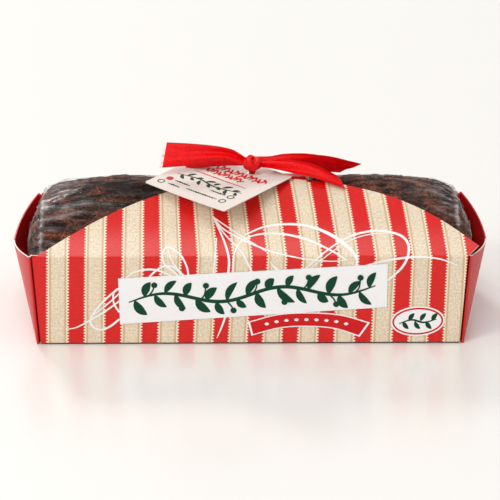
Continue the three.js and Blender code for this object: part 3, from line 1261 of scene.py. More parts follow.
@dataclass
class CartonBase:
    """The carton's floor, a flat card between the walls and the ends."""

    palette: Palette
    gap: float = 0.1

    def build(self) -> None:
        """Make the floor."""
        half_length = CARTON.base_length / 2 - self.gap
        half_depth = CARTON.half_depth - CARTON.card - CARTON.foot_tuck - self.gap
        x = np.linspace(-half_length, half_length, 40)[None, :]
        y = np.linspace(-half_depth, half_depth, 16)[:, None]
        points = points_of(x, y, CARTON.card)
        base = mesh_from("carton_base", [Patch(points, points[..., :2])])
        make_card(base, self.palette.red_inside, self.palette.red_card, self.palette.cut_card)
        place_in_pack(base, "carton")


# ---------------------------------------------------------------- print and labels


@dataclass
class Pen:
    """Draws flat shapes on a surface as thin closed sheets, all of one ink."""

    surface: Placing
    lift: float = 0.06
    step: float = 0.012
    thickness: float = 0.05
    patches: list[Patch] = field(default_factory=list)

    def sheet(self, places: np.ndarray, closed: bool = False) -> None:
        """Add a sheet over a grid of flat places, its columns closed round if it is a disc.

        Args:
            places: the grid, along u and v.
            closed: True if its columns join round.
        """
        height = self.lift + self.step * len(self.patches)
        points = self.surface.place(places[..., 0], places[..., 1], height)
        self.patches.append(Patch(points, places, columns_close=closed))

    def stroke(self, through_points: Sequence[Pair], width: Sequence[float], count: int = 90) -> None:
        """Add a stroke along a smooth line.

        Args:
            through_points: places that the line passes through.
            width: the stroke's widths, evenly spread along it.
            count: how many rows the stroke has.
        """
        line = through(np.asarray(through_points, float), count)
        half = np.interp(np.linspace(0, 1, count), np.linspace(0, 1, len(width)), width)[:, None] / 2
        share = np.linspace(1, -1, 4)[None, :, None]
        self.sheet(line[:, None] + beside(line)[:, None] * half[:, None] * share)

    def leaf(self, base: Pair, angle: float, length: float, width: float, curl: float = 0.15) -> None:
        """Add a leaf: a lens along a gently curled spine.

        Args:
            base: where the leaf springs from.
            angle: its direction in degrees, from u towards v.
            length: from base to tip.
            width: across its middle.
            curl: how far the spine bends, as a share of the length.
        """
        t = np.linspace(0, 1, 26)
        spine = np.array(base) + points_of(*turned(length * t, curl * length * np.sin(math.pi * t), angle))
        half = (width / 2 * np.sin(math.pi * np.clip(t, 0.004, 0.996)) ** 0.75)[:, None]
        share = np.linspace(1, -1, 5)[None, :, None]
        self.sheet(spine[:, None] + beside(spine)[:, None] * half[:, None] * share)

    def disc(self, centre: Pair, radii: Pair, inner: float = 0.0, tilt: float = 0.0) -> None:
        """Add a disc, or a ring if inner is over 0.

        Args:
            centre: its place.
            radii: its two half-widths.
            inner: the hole's size as a share of the outside.
            tilt: in degrees.
        """
        angle = full_turn(72)[None, :]
        share = np.linspace(inner, 1, 5)[:, None]
        x, y = radii[0] * share * np.cos(angle), radii[1] * share * np.sin(angle)
        self.sheet(np.array(centre) + points_of(*turned(x, y, tilt)), closed=True)

    def finish(self, name: str, ink: Finish, node: str, slot: str) -> None:
        """Make the drawing one object.

        Args:
            name: the object's name.
            ink: what it is printed with.
            node: the frame's part that it belongs to.
            slot: not used.
        """
        drawing = mesh_from(name, self.patches, ink)
        face_outward(drawing)
        give_thickness(drawing, self.thickness)
        place_in_pack(drawing, node)


def face_outward(piece: Piece) -> None:
    """Turn each sheet of a drawing so that it faces up or towards the front.

    Args:
        piece: the drawing.
    """
    shell = bmesh.new()
    shell.from_mesh(piece.data)
    shell.normal_update()
    wrong = [f for f in shell.faces if f.normal.z - f.normal.y < 0]
    bmesh.ops.reverse_faces(shell, faces=wrong)
    shell.to_mesh(piece.data)
    shell.free()


@dataclass
class FrontPrint:
    """What is printed and stuck on the carton's front: swirls, the label, the banner and the oval."""

    face: FoldedFace
    palette: Palette
    swirl_weight: float = 0.8
    banner_height: float = 7.4

    # The lines that each swirl passes through, with its widths along them.
    SWIRLS = (
        (
            (
                (-17.9, 22.3), (-13.2, 15.4), (-2.2, 8.4), (10.6, 2.8), (24.6, -0.7), (38.4, -2.3),
                (46.7, -1.6),
            ),
            (0.9, 1.2, 1.0, 0.8, 0.5),
        ),
        (
            (
                (46.7, -1.6), (38.5, 3.6), (27.4, 9.2), (15.4, 12.2), (4.3, 12.0), (-4.1, 8.4), (-7.8, 0.9),
                (-8.3, -8.2),
            ),
            (0.9, 1.6, 1.0, 0.7),
        ),
        (
            (
                (-2.2, 11.9), (7.1, 16.2), (18.2, 17.7), (29.3, 16.3), (40.4, 10.9), (48.6, 3.7),
                (51.6, -1.6), (50.9, -6.0),
            ),
            (0.9, 1.5, 1.8, 2.4, 1.4),
        ),
        (
            ((-17.9, 22.0), (-13.4, 18.2), (-4.0, 11.0), (7.9, 2.8)),
            (0.8, 1.0, 0.6),
        ),
        (
            ((-17.7, 21.5), (-12.4, 8.0), (-10.2, -1.1), (-10.6, -9.0)),
            (0.9, 1.3, 1.5),
        ),
        (
            ((-17.4, 20.4), (-11.8, 11.6), (-4.1, 2.6), (1.4, -9.0)),
            (0.8, 0.9, 1.2),
        ),
        (
            ((-16.1, 10.1), (-17.0, -0.1), (-17.8, -9.4)),
            (0.5, 1.0, 0.8),
        ),
        (
            (
                (25.5, -7.4), (36.6, 2.7), (47.8, 10.4), (59.0, 13.6), (68.3, 12.9), (74.7, 9.7),
                (76.8, 3.5), (74.0, -4.9), (66.8, -12.6),
            ),
            (0.8, 1.1, 1.5, 1.6, 1.2),
        ),
        (
            ((27.5, -7.6), (38.0, 1.2), (48.6, 8.6), (59.0, 12.0), (68.0, 12.4)),
            (0.4, 0.7, 0.6),
        ),
        (
            ((53.1, -5.4), (64.2, -2.4), (72.4, -0.9), (82.1, -0.2), (91.8, -1.3), (100.1, -4.5)),
            (0.6, 1.5, 1.2, 0.6),
        ),
        (
            (
                (-29.8, -9.8), (-30.6, -5.0), (-33.0, 0.3), (-37.9, 4.6), (-40.8, 4.6), (-42.3, 1.3),
                (-41.5, -3.2), (-37.8, -6.7), (-34.7, -9.8),
            ),
            (1.1, 1.3, 1.2),
        ),
        (
            ((-39.6, 3.7), (-37.9, -1.4), (-34.7, -6.7), (-31.9, -9.8)),
            (0.6, 1.0, 1.2),
        ),
        (
            ((-60.2, -10.7), (-55.7, -7.6), (-49.2, -6.3), (-43.6, -7.1), (-37.9, -9.8)),
            (0.8, 1.3, 1.0),
        ),
        (
            ((-48.8, -10.2), (-45.2, -6.7), (-41.2, -4.5), (-37.1, -5.0), (-34.3, -7.6), (-32.3, -9.8)),
            (1.1, 1.3, 0.9),
        ),
        (
            (
                (-63.6, -16.4), (-68.0, -19.9), (-73.3, -25.6), (-77.5, -32.2), (-76.8, -36.6),
                (-72.8, -38.4), (-68.3, -36.6), (-63.6, -32.7),
            ),
            (1.1, 1.2, 1.3),
        ),
        (
            (
                (-90.2, -38.2), (-84.5, -37.0), (-78.4, -33.5), (-71.4, -29.1), (-65.6, -24.7),
                (-63.5, -23.0),
            ),
            (0.5, 1.2, 1.0),
        ),
        (
            ((-64.3, -16.4), (-66.3, -19.0), (-66.2, -24.3), (-63.6, -29.1)),
            (1.2, 1.0, 1.3),
        ),
        (
            ((-63.5, -19.0), (-68.0, -23.4), (-74.6, -29.1), (-77.4, -31.3)),
            (0.9, 0.9, 0.5),
        ),
        (
            ((-12.1, -31.6), (-14.0, -37.2), (-16.3, -43.1)),
            (1.3, 1.1, 0.4),
        ),
        (
            ((9.7, -2.3), (11.9, -5.4), (15.8, -8.6)),
            (0.5, 1.5, 1.7),
        ),
    )

    def build(self) -> None:
        """Make every printed piece, from the lowest layer up."""
        swirls = Pen(self.face)
        for line, width in self.SWIRLS:
            swirls.stroke(line, [self.swirl_weight * w for w in width])
        swirls.finish("printed_swirls", self.palette.white_ink, "carton", "carton_card")
        self._label()
        self._banner()
        self._oval()

    def _label(self) -> None:
        """A slanted white label with a green vine of leaves and berries."""
        label = Pen(self.face, lift=0.42, thickness=0.14)
        corners = np.array(((-63.9, 35.5), (66.6, 42.8), (66.5, 19.9), (-63.4, 11.2)))
        corners = corners - (0, CARTON.wall_height)
        s, t = np.linspace(0, 1, 60)[None, :, None], np.linspace(0, 1, 14)[:, None, None]
        top, low = (corners[k] * (1 - s) + corners[m] * s for k, m in ((0, 1), (3, 2)))
        label.sheet(top * (1 - t) + low * t)
        label.finish("front_label", self.palette.label, "carton", "carton_card")
        vine = Pen(self.face, lift=0.46, step=0.006, thickness=0.04)
        slope = math.degrees(math.atan2(7.7, 130.2))
        left, level = -57.0, 23.6 - CARTON.wall_height

        def at(along: float, up: float) -> Pair:
            """A place on the label from its left end, along and above its middle line."""
            u, v = turned(along, up, slope)
            return left + u, level + v

        def swing(along: float) -> float:
            """How far the stem is above the label's middle line."""
            return 3.0 * math.sin(along / 9.2)

        stem = [at(d, swing(d)) for d in np.linspace(-2, 118, 46)]
        vine.stroke(stem, (0.6, 1.7, 1.9, 1.8, 1.9, 1.7, 0.6), 260)
        for k, d in enumerate(np.linspace(1, 115, 24)):
            side = 1 if k % 2 else -1
            angle = slope + side * (56 + 10 * math.sin(1.7 * k))
            length = 8.8 + 1.5 * math.sin(2.3 * k + 0.6) - side * 0.48 * swing(d)
            vine.leaf(at(d, swing(d)), angle, length, 3.8 + 0.5 * math.cos(k), 0.12 * side)
        for k, d in enumerate(np.linspace(8, 108, 9)):
            up, side = swing(d), -1 if k % 2 else 1
            berry = at(d + 3.0, up + side * (6.6 - side * 0.5 * up))
            vine.stroke([at(d, up), at(d + 2.0, up + side * 2.6), berry], (0.8, 0.6), 24)
            vine.disc(berry, (1.5, 1.5))
        vine.finish("label_vine", self.palette.green_ink, "carton", "carton_card")

    def _banner(self) -> None:
        """An arched red banner with a white outline and a row of small diamonds."""
        top, low = (
            through(np.array(edge) - (0, CARTON.wall_height), 60)
            for edge in (
                ((-1.2, 12.1), (13.4, 16.2), (29.3, 17.1), (44.5, 15.8), (58.4, 11.6)),
                ((0.6, 4.7), (14.2, 8.6), (27.5, 9.4), (41.0, 8.2), (53.4, 3.9)),
            )
        )
        for name, ink, inset, lift in (
            ("banner_outline", self.palette.white_ink, 0.0, 0.3),
            ("banner", self.palette.red_ink, 0.55, 0.36),
        ):
            margin = inset / self.banner_height
            share = margin + (1 - 2 * margin) * np.linspace(0, 1, 8)[:, None, None]
            place = top * (1 - share) + low * share
            pen = Pen(self.face, lift=lift)
            pen.sheet(place[:, 1:-1] if inset else place)
            pen.finish(name, ink, "carton", "carton_card")
        marks = Pen(self.face, lift=0.4, step=0.004, thickness=0.04)
        for u, v in ((top + low) / 2)[9:52:5]:
            marks.leaf((u - 1.1, v), 0.0, 2.2, 1.5, 0.0)
        marks.finish("banner_marks", self.palette.white_ink, "carton", "carton_card")

    def _oval(self) -> None:
        """An oval seal: a cream outline, a red ring, a white middle and a small green sprig."""
        centre = (81.6, 12.2 - CARTON.wall_height)
        for name, ink, radii, lift in (
            ("oval_outline", self.palette.white_ink, (13.2, 8.0), 0.3),
            ("oval_ring", self.palette.red_ink, (12.4, 7.2), 0.36),
            ("oval_middle", self.palette.label, (11.5, 6.3), 0.42),
        ):
            pen = Pen(self.face, lift=lift)
            pen.disc(centre, radii, tilt=3.0)
            pen.finish(name, ink, "carton", "carton_card")
        sprig = Pen(self.face, lift=0.46, step=0.006, thickness=0.04)
        stem = np.array(((-9.0, -1.2), (-3.0, 0.8), (3.0, -0.6), (9.0, 1.2))) + centre
        sprig.stroke(stem, (0.5, 1.1, 0.5), 40)
        for k, along in enumerate((-7.0, -4.2, -1.4, 1.4, 4.2, 7.0)):
            side = 1 if k % 2 else -1
            sprig.leaf((centre[0] + along, centre[1] + 0.1), side * 58.0, 4.9, 2.2, 0.1 * side)
        sprig.finish("oval_sprig", self.palette.green_ink, "carton", "carton_card")


# ---------------------------------------------------------------- the cake and its film


@dataclass
class WrappedCake:
    """The loaf and the clear film that clings to it."""

    palette: Palette
    front: FoldedFace
    back: FoldedFace
    stations: int = 330
    around: int = 220
    film_gap: float = 0.22
    cake_depth: float = 1.0
    film_depth: float = 0.82

    def build(self) -> None:
        """Make the crust and the film from one grid, so that the film always lies outside."""
        base, normal, keep = self._body()
        crust = self._crust_relief(base)
        creases, haze_and_sheen = self._film_relief(base)
        film = np.maximum(creases, crust + self.film_gap)
        cake_points = self._inside_carton(base + normal * (crust * keep)[..., None], self.cake_depth)
        film_points = self._inside_carton(base + normal * (film * keep)[..., None], self.film_depth)
        # The crust's relief value also marks its hollows for painted shade.
        self._shell("fruit_cake", cake_points, {"relief": crust + 1.1}, self.palette.crust)
        self._shell("clear_wrap", film_points, {"haze_and_sheen": haze_and_sheen}, self.palette.film)

    def _shell(self, name: str, points: np.ndarray, values: dict[str, np.ndarray], finish: Finish) -> None:
        """Make one closed shell from the grid.

        Args:
            name: the object's name.
            points: the grid, closed round the loaf.
            values: named values for its points.
            finish: its material.
        """
        piece = mesh_from(name, [Patch(points, columns_close=True)], finish, values)
        place_in_pack(piece, "wrapped_cake")

    def _body(self) -> tuple[np.ndarray, np.ndarray, np.ndarray]:
        """The loaf without relief: sections along its length, closed by a cap at each end.

        A section is a rounded box below the belly, and above it falls from the crown by a power of the
        distance across. Towards its ends the loaf is narrower, drawn in and a little slanted.

        Returns:
            Its points, the way out of it at each, and how much relief it takes there, none at the poles.
        """
        s = np.linspace(-1, 1, self.stations)
        x = np.sign(s) * CAKE.belly_reach * (1 - (1 - np.abs(s)) ** 1.35)
        cap = np.linspace(0, math.pi / 2, 10)[:-1]
        x = np.r_[np.full(cap.size, x[0]), x, np.full(cap.size, x[-1])]
        size = np.r_[np.sin(cap), np.ones(self.stations), np.sin(cap)[::-1]]
        puff = np.r_[-np.cos(cap), np.zeros(self.stations), np.cos(cap)[::-1]]
        away, side = np.abs(x), np.sign(x)
        into = np.maximum(0, away - (CAKE.belly_reach - CAKE.plump_corner))
        half = CAKE.half_width - CAKE.plump_corner + np.sqrt(np.maximum(CAKE.plump_corner**2 - into**2, 0))
        lean = np.maximum(0, away - CAKE.foot_reach) / (CAKE.belly_reach - CAKE.foot_reach)
        low = CAKE.foot_height + (CAKE.belly_height - 0.5 - CAKE.foot_height) * lean
        crown = np.interp(away, CAKE.distance, CAKE.crown)
        crown = np.convolve(np.pad(crown, 4, "edge"), np.ones(9) / 9, "valid")
        front = np.interp(away, CAKE.distance, CAKE.front_squareness)[:, None]
        back = np.interp(away, CAKE.distance, CAKE.back_squareness)[:, None]
        angle = full_turn(self.around)[None, :]
        cosine, sine = np.cos(angle), np.sin(angle)
        box = 2 / 7
        across = np.where(sine >= 0, cosine, np.sign(cosine) * np.abs(cosine) ** box)
        power = np.where(across < 0, front, back)
        rim = CAKE.belly_height
        upper = rim + (crown[:, None] - rim) * (1 - np.abs(across) ** power)
        lower = rim - (rim - low[:, None]) * np.abs(sine) ** box
        z = np.where(sine >= 0, upper, lower)
        middle = (crown + low)[:, None] / 2
        drawn_in = 0.9 * smooth_step(96, 106, away)
        slant = 0.065 * smooth_step(92, 106, away)
        y = across * half[:, None]
        reach = (x + 0.4 * puff - side * drawn_in)[:, None] - (side * slant)[:, None] * y
        points = points_of(reach, y * size[:, None], middle + (z - middle) * size[:, None])
        wrapped = np.concatenate([points[:, -1:], points, points[:, :1]], 1)
        along = np.gradient(points, axis=0)
        around = (wrapped[:, 2:] - wrapped[:, :-2]) / 2
        normal = unit(np.cross(around, along))
        outward = np.sign((normal * (points - (0, 0, 30))).sum(-1).mean())
        normal = normal * outward
        keep = np.broadcast_to(size[:, None] ** 0.5, points.shape[:2])
        return points, normal, keep

    @staticmethod
    def _crust_relief(base: np.ndarray) -> np.ndarray:
        """Lengthwise swells, lumps of fruit and crumb, in millimetres under the body's skin.

        Args:
            base: the points of the loaf without relief.

        Returns:
            The relief at each.
        """
        swells = lattice_noise(base, (30, 8, 6), 3) * 0.9
        furrows = ridges(base, (16, 3.4, 3.0), 5, 2.4) - 0.4
        fruit = smooth_step(0.2, 0.6, lattice_noise(base, (9, 5, 5), 8)) * 0.9
        crumb = lattice_noise(base, (3.4, 2.2, 2.2), 11) * 0.55
        return np.clip(swells + furrows + fruit + crumb - 1.3, -2.8, -0.2)

    @staticmethod
    def _film_relief(base: np.ndarray) -> tuple[np.ndarray, np.ndarray]:
        """Lengthwise creases, a pleat round each end, the milky patches where the film is bunched, and
        painted highlights along its folds.

        Args:
            base: the points of the loaf without relief.

        Returns:
            How far the film is raised in millimetres, and how milky it is from 0 to 1, painted highlights
            along folds and fine creases included.
        """
        x, y, z = np.moveaxis(base, -1, 0)
        away = np.abs(x)
        long_creases = np.maximum(ridges(base, (62, 7, 6), 21, 2.6), 0)
        fine_creases = np.maximum(ridges(base, (26, 3.4, 3.2), 22, 3.0), 0)
        bunched = smooth_step(62, 100, away)
        creases = 0.6 * long_creases**2 + (0.08 + 0.3 * bunched) * fine_creases**2
        pleat = 0.9 * bell(away, 101.5, 1.3) * smooth_step(46, 50, z)
        cross = lattice_noise(base, (5, 9, 9), 24) * 0.2 * bunched
        relief = np.clip(-0.95 + creases + pleat + cross, -0.6, 1.1)
        patch = smooth_step(0.05, 0.5, lattice_noise(base, (24, 9, 6), 31))
        gathered = 0.18 * smooth_step(76, 101, away) * patch + 0.42 * bell(away, 101.5, 1.0)
        folds, milk_and_sheen = WrappedCake._folds(x, y)
        relief = relief + folds
        # The whitening along folds and fine creases is painted highlight; the gathered ends are milky film.
        haze_and_sheen = gathered + milk_and_sheen + 0.2 * fine_creases**3 * bunched
        return relief, np.clip(haze_and_sheen * smooth_step(30, 48, z), 0, 1)

    @staticmethod
    def _folds(x: np.ndarray, y: np.ndarray) -> tuple[np.ndarray, np.ndarray]:
        """The long folds that fan out from each pleat: sharp, slightly waved ridges that fade to their tips.

        Args:
            x: along the pack.
            y: across it.

        Returns:
            How far each point is raised in millimetres, and how much painted highlight whitens the film
            there.
        """
        relief, milk_and_sheen = np.zeros_like(x), np.zeros_like(x)
        # Each fold: start, end, breadth, height, and white, the strength of its painted highlight.
        for start, end, breadth, height, white in (
            ((-102.0, -14.5), (-60.0, -14.0), 1.3, 0.9, 0.4),
            ((-102.0, -13.5), (-84.0, -3.5), 1.0, 0.7, 0.7),
            ((-102.0, -3.0), (-83.0, -3.0), 1.0, 0.7, 0.7),
            ((-102.0, -7.5), (-88.0, -6.0), 0.8, 0.6, 0.8),
            ((-102.0, 2.0), (-78.0, 6.0), 0.9, 0.6, 0.3),
            ((-102.0, -22.0), (-78.0, -17.0), 1.0, 0.7, 0.35),
            ((102.0, -8.0), (76.0, -3.0), 0.9, 0.6, 0.35),
            ((102.0, -12.0), (84.0, -12.0), 0.8, 0.6, 0.4),
            ((102.0, -1.0), (70.0, 4.0), 1.0, 0.7, 0.35),
            ((102.0, 6.0), (80.0, 9.0), 1.0, 0.7, 0.5),
            ((102.0, -20.0), (88.0, -16.0), 0.8, 0.6, 0.35),
        ):
            share = np.clip((x - start[0]) / (end[0] - start[0]), -0.05, 1)
            level = start[1] + (end[1] - start[1]) * share + 0.5 * np.sin(x / 4.3)
            fade = np.sqrt(1 - np.clip(share, 0, 1)) * smooth_step(-0.05, 0.0, share)
            ridge = np.exp(-np.abs(y - level) / (0.65 * breadth)) * fade
            relief += height * ridge
            milk_and_sheen += 1.35 * white * ridge
        return relief, milk_and_sheen

    def _inside_carton(self, points: np.ndarray, depth: float) -> np.ndarray:
        """Keep points under the lid flaps and between the walls.

        Args:
            points: the shell's points.
            depth: how far under the flaps' outer faces they have to stay.

        Returns:
            The points, pressed in where they would show through the card.
        """
        x, y, z = np.moveaxis(points, -1, 0)
        y = np.clip(y, -CARTON.half_depth + depth, CARTON.half_depth - depth)
        for face, side in ((self.front, y < 0), (self.back, y >= 0)):
            roof, height = face.roof_over(y, depth)
            left, right = face.outline(height)
            across = -face.facing.value * x
            cover = smooth_step(-1.6, 0.3, np.minimum(across - left, right - across))
            z = np.where(side & (z > roof), z + (roof - z) * cover, z)
        return np.stack([x, y, z], -1)


# ---------------------------------------------------------------- the ribbon


@dataclass
class RibbonLength:
    """One visible length of ribbon between two edges, gathered by pleats that keep its real width."""

    name: str
    upper: Sequence[Triple]
    lower: Sequence[Triple]
    pleats: float = 1.5
    cup: float = 0.0
    rests_on: tuple[str, ...] = ()

    def build(self, palette: Palette) -> None:
        """Where the edges are closer than the ribbon is wide, a sine of pleats across it takes up the rest.

        Args:
            palette: the pack's finishes.
        """
        rows, columns = 90, 29
        upper, lower = through(np.array(self.upper), rows), through(np.array(self.lower), rows)
        line, span = (upper + lower) / 2, upper - lower
        width = np.linalg.norm(span, axis=1)
        facing = unit(np.cross(np.gradient(line, axis=0), span))
        share = np.linspace(0, 1, rows)
        tight = np.clip(width / RIBBON.width, 0.2, 1)
        t = np.linspace(-1, 1, columns)
        depth = np.sqrt(np.maximum(1 / tight**2 - 1, 0)) * width / (2 * math.pi * self.pleats) * 0.9
        wave = np.sin(self.pleats * math.pi * t[None, :] + 0.5) * depth[:, None]
        ripple = 0.3 * np.sin(5.5 * share[:, None] + 1.8 * t[None, :]) * share[:, None]
        cup = self.cup * (1 - t[None, :] ** 2) * np.sin(math.pi * share)[:, None]
        raised = facing[:, None] * (wave + ripple + cup)[..., None]
        points = line[:, None] + span[:, None] / 2 * t[None, :, None] + raised
        length = float(np.linalg.norm(np.diff(line, axis=0), axis=1).sum())
        flat = points_of(share[:, None] * length, RIBBON.width / 2 * t[None, :])
        piece = mesh_from(self.name, [Patch(points, flat)], palette.satin)
        give_thickness(piece, RIBBON.thickness)
        place_in_pack(piece, "ribbon")


@dataclass
class Ribbon:
    """The satin ribbon: a band over the ridge between two slots, a knot, and its ends."""

    palette: Palette

    def build(self) -> None:
        """Make the lengths, the knot and the frayed threads."""
        lengths = (
            RibbonLength(
                "ribbon_left_tail",
                (
                    (-1.5, 3.4, 80.2), (-5.0, 4.0, 82.4), (-9.0, 5.0, 84.1), (-16.9, 5.5, 85.6),
                    (-27.9, 5.8, 86.7), (-40.7, 5.6, 87.7),
                ),
                (
                    (-1.5, 2.6, 76.6), (-5.9, 2.4, 77.3), (-12.9, 2.0, 79.2), (-22.5, 1.0, 78.5),
                    (-31.0, 0.2, 77.5), (-43.0, -0.6, 76.7),
                ),
                cup=-0.5,
            ),
            RibbonLength(
                "ribbon_left_fold",
                ((-1.6, 5.0, 78.6), (-12.0, 13.0, 79.0), (-22.0, 17.0, 77.5), (-31.0, 19.0, 74.8)),
                (
                    (-1.6, 4.0, 76.0), (-10.7, 6.0, 75.6), (-18.7, 7.0, 75.0), (-25.1, 8.0, 73.9),
                    (-31.7, 9.0, 72.9),
                ),
                cup=0.6,
                rests_on=("gift_tag",),
            ),
            RibbonLength(
                "ribbon_right_tail",
                (
                    (3.0, 3.4, 78.6), (12.8, 5.0, 78.3), (21.4, 5.0, 78.7), (30.5, 4.0, 77.2),
                    (37.6, 3.0, 74.0), (43.2, 1.5, 71.0),
                ),
                (
                    (3.0, 1.6, 76.0), (14.4, 0.0, 74.6), (23.6, -2.0, 73.1), (30.5, -4.0, 72.2),
                    (37.6, -6.6, 70.7), (47.4, -10.0, 68.9),
                ),
                cup=0.6,
                rests_on=("front_side",),
            ),
            RibbonLength(
                "ribbon_back_tail",
                (
                    (3.0, 4.4, 80.0), (9.8, 5.0, 79.7), (16.6, 5.6, 80.8), (24.5, 5.4, 81.3),
                    (30.5, 5.0, 81.2), (41.1, 4.8, 79.9), (55.1, 6.0, 75.8),
                ),
                (
                    (3.0, 5.0, 76.5), (9.8, 7.0, 74.4), (16.0, 8.5, 72.6), (24.0, 9.2, 71.4),
                    (34.0, 9.6, 70.7), (44.7, 9.5, 69.9),
                ),
                cup=-0.5,
                rests_on=("back_side",),
            ),
        )
        for length in lengths:
            length.build(self.palette)
        self._band()
        self._knot()
        self._threads()

    def _band(self) -> None:
        """The band that lies over the ridge and dips through a slot at each end."""
        reach = CARTON.slot_reach
        x = np.linspace(-reach, reach, 120)[:, None]
        dip = RIBBON.band_dip * smooth_step(reach - CARTON.slot_width, reach, np.abs(x))
        across = np.linspace(0, 1, 22)[None, :]
        gather = 0.12 * np.sin(across * 9.0)
        y = RIBBON.band_front + across * (RIBBON.width - RIBBON.band_tuck)
        z = RIBBON.band_height - np.where(y < 0, -0.4, 0.25) * y
        points = points_of(x, y, z - dip + gather)
        flat = points_of(x, (across - 0.5) * RIBBON.width)
        band = mesh_from("ribbon_band", [Patch(points[::-1], flat[::-1])], self.palette.satin)
        face_outward(band)
        give_thickness(band, RIBBON.thickness)
        place_in_pack(band, "ribbon")

    def _knot(self) -> None:
        """The knot: a furrowed core and turns of ribbon wrapped round it, spread a little, above a neck."""
        centre = np.array(RIBBON.knot)
        up = np.linspace(0, math.pi, 40)[:, None]
        turn = full_turn(64)[None, :]
        way = points_of(np.sin(up) * np.cos(turn), np.sin(up) * np.sin(turn), np.cos(up))
        furrow = 0.10 * np.sin(4 * turn + 3.2 * up + 0.6) * np.sin(up)
        lumps = 0.08 * lattice_noise(way * 10, 4.5, 41)
        core = centre + way * RIBBON.knot_radii * (0.68 + furrow + lumps)[..., None]
        patches = [Patch(core[::-1], points_of(turn * 4, up * 4)[::-1], columns_close=True)]
        for axis, start, reach, breadth in (
            ((0.45, -0.35, 0.8), 0.2, 3.2, 1.3),
            ((0.95, -0.25, 0.35), 1.4, 3.5, 1.2),
            ((-0.7, -0.45, 0.75), 2.6, 3.1, 1.2),
            ((0.55, 0.2, -0.75), 0.9, 3.2, 1.1),
        ):
            patches.append(self._wrap(centre, np.array(axis), start, reach, breadth))
        for patch in patches:
            patch.points = centre + (patch.points - centre) * RIBBON.knot_spread + RIBBON.knot_shift
        knot = mesh_from("ribbon_knot", [*patches, self._neck()], self.palette.satin)
        place_in_pack(knot, "ribbon")

    @staticmethod
    def _neck() -> Patch:
        """The neck under the knot: a fluted column, closed at both ends.

        Returns:
            The column.
        """
        turn = full_turn(32)[None, :]
        radius = RIBBON.neck_radius + 0.16 * np.sin(6 * turn)
        up = np.linspace(0, RIBBON.neck_height, 12)[:, None]
        column = points_of(radius * np.cos(turn), radius * np.sin(turn), up)
        end = np.zeros((1, turn.size, 3))
        points = np.concatenate([end, column, end + (0, 0, RIBBON.neck_height)]) + RIBBON.neck
        return Patch(points, points[..., :2], columns_close=True)

    @staticmethod
    def _wrap(centre: np.ndarray, axis: np.ndarray, start: float, reach: float, breadth: float) -> Patch:
        """One turn of ribbon round the knot: a closed hoop with a flat, pleated section.

        Args:
            centre: the knot's middle.
            axis: what the hoop turns about.
            start: where its folds start, in radians round it.
            reach: from the axis to the middle of the section.
            breadth: half the section's width along the axis.

        Returns:
            The hoop, closed both ways.
        """
        axis = unit(axis)
        side = unit(np.cross(axis, (0.3, 1.0, 0.2)))
        other = np.cross(axis, side)
        round_it = full_turn(72)[:, None]
        section = full_turn(24)[None, :]
        out = side * np.cos(round_it + start)[..., None] + other * np.sin(round_it + start)[..., None]
        thick = 1.3 + 0.2 * np.sin(3 * section + 2 * round_it)
        wide = breadth * (1 + 0.15 * np.sin(2 * round_it + start))
        outward = out * (reach + thick * np.cos(section) * 0.9)[..., None]
        points = centre + outward + axis * (wide * np.sin(section))[..., None]
        return Patch(points, points_of(round_it * reach, section * 1.5), rows_close=True, columns_close=True)

    def _threads(self) -> None:
        """Frayed threads at the cut end of the left tail, each a thin tapered tube."""
        rng = np.random.default_rng(17)
        edge_middle = np.array((-41.8, 2.5, 82.2))
        half_edge = np.array((1.15, 3.1, 5.5))
        patches = []
        turn = full_turn(5)[None, :]
        t = np.linspace(0, 1, 6)[:, None]
        radius = np.array([0, 0.09, 0.09, 0.08, 0.06, 0])[:, None]
        ring = points_of(0.0, radius * np.cos(turn), radius * np.sin(turn))
        for _ in range(22):
            base = edge_middle + half_edge * rng.uniform(-0.95, 0.6)
            length = rng.uniform(0.8, 2.4)
            tip = base + np.array((-length, rng.uniform(-0.4, 0.4), rng.uniform(-0.6, 0.4)))
            line = base + (tip - base) * t + np.array((0, 0, -0.25)) * np.sin(math.pi * t)
            points = (line[:, None] + ring)[::-1]
            patches.append(Patch(points, points[..., 1:], columns_close=True))
        threads = mesh_from("ribbon_threads", patches, self.palette.thread)
        place_in_pack(threads, "ribbon")


# ---------------------------------------------------------------- the tag


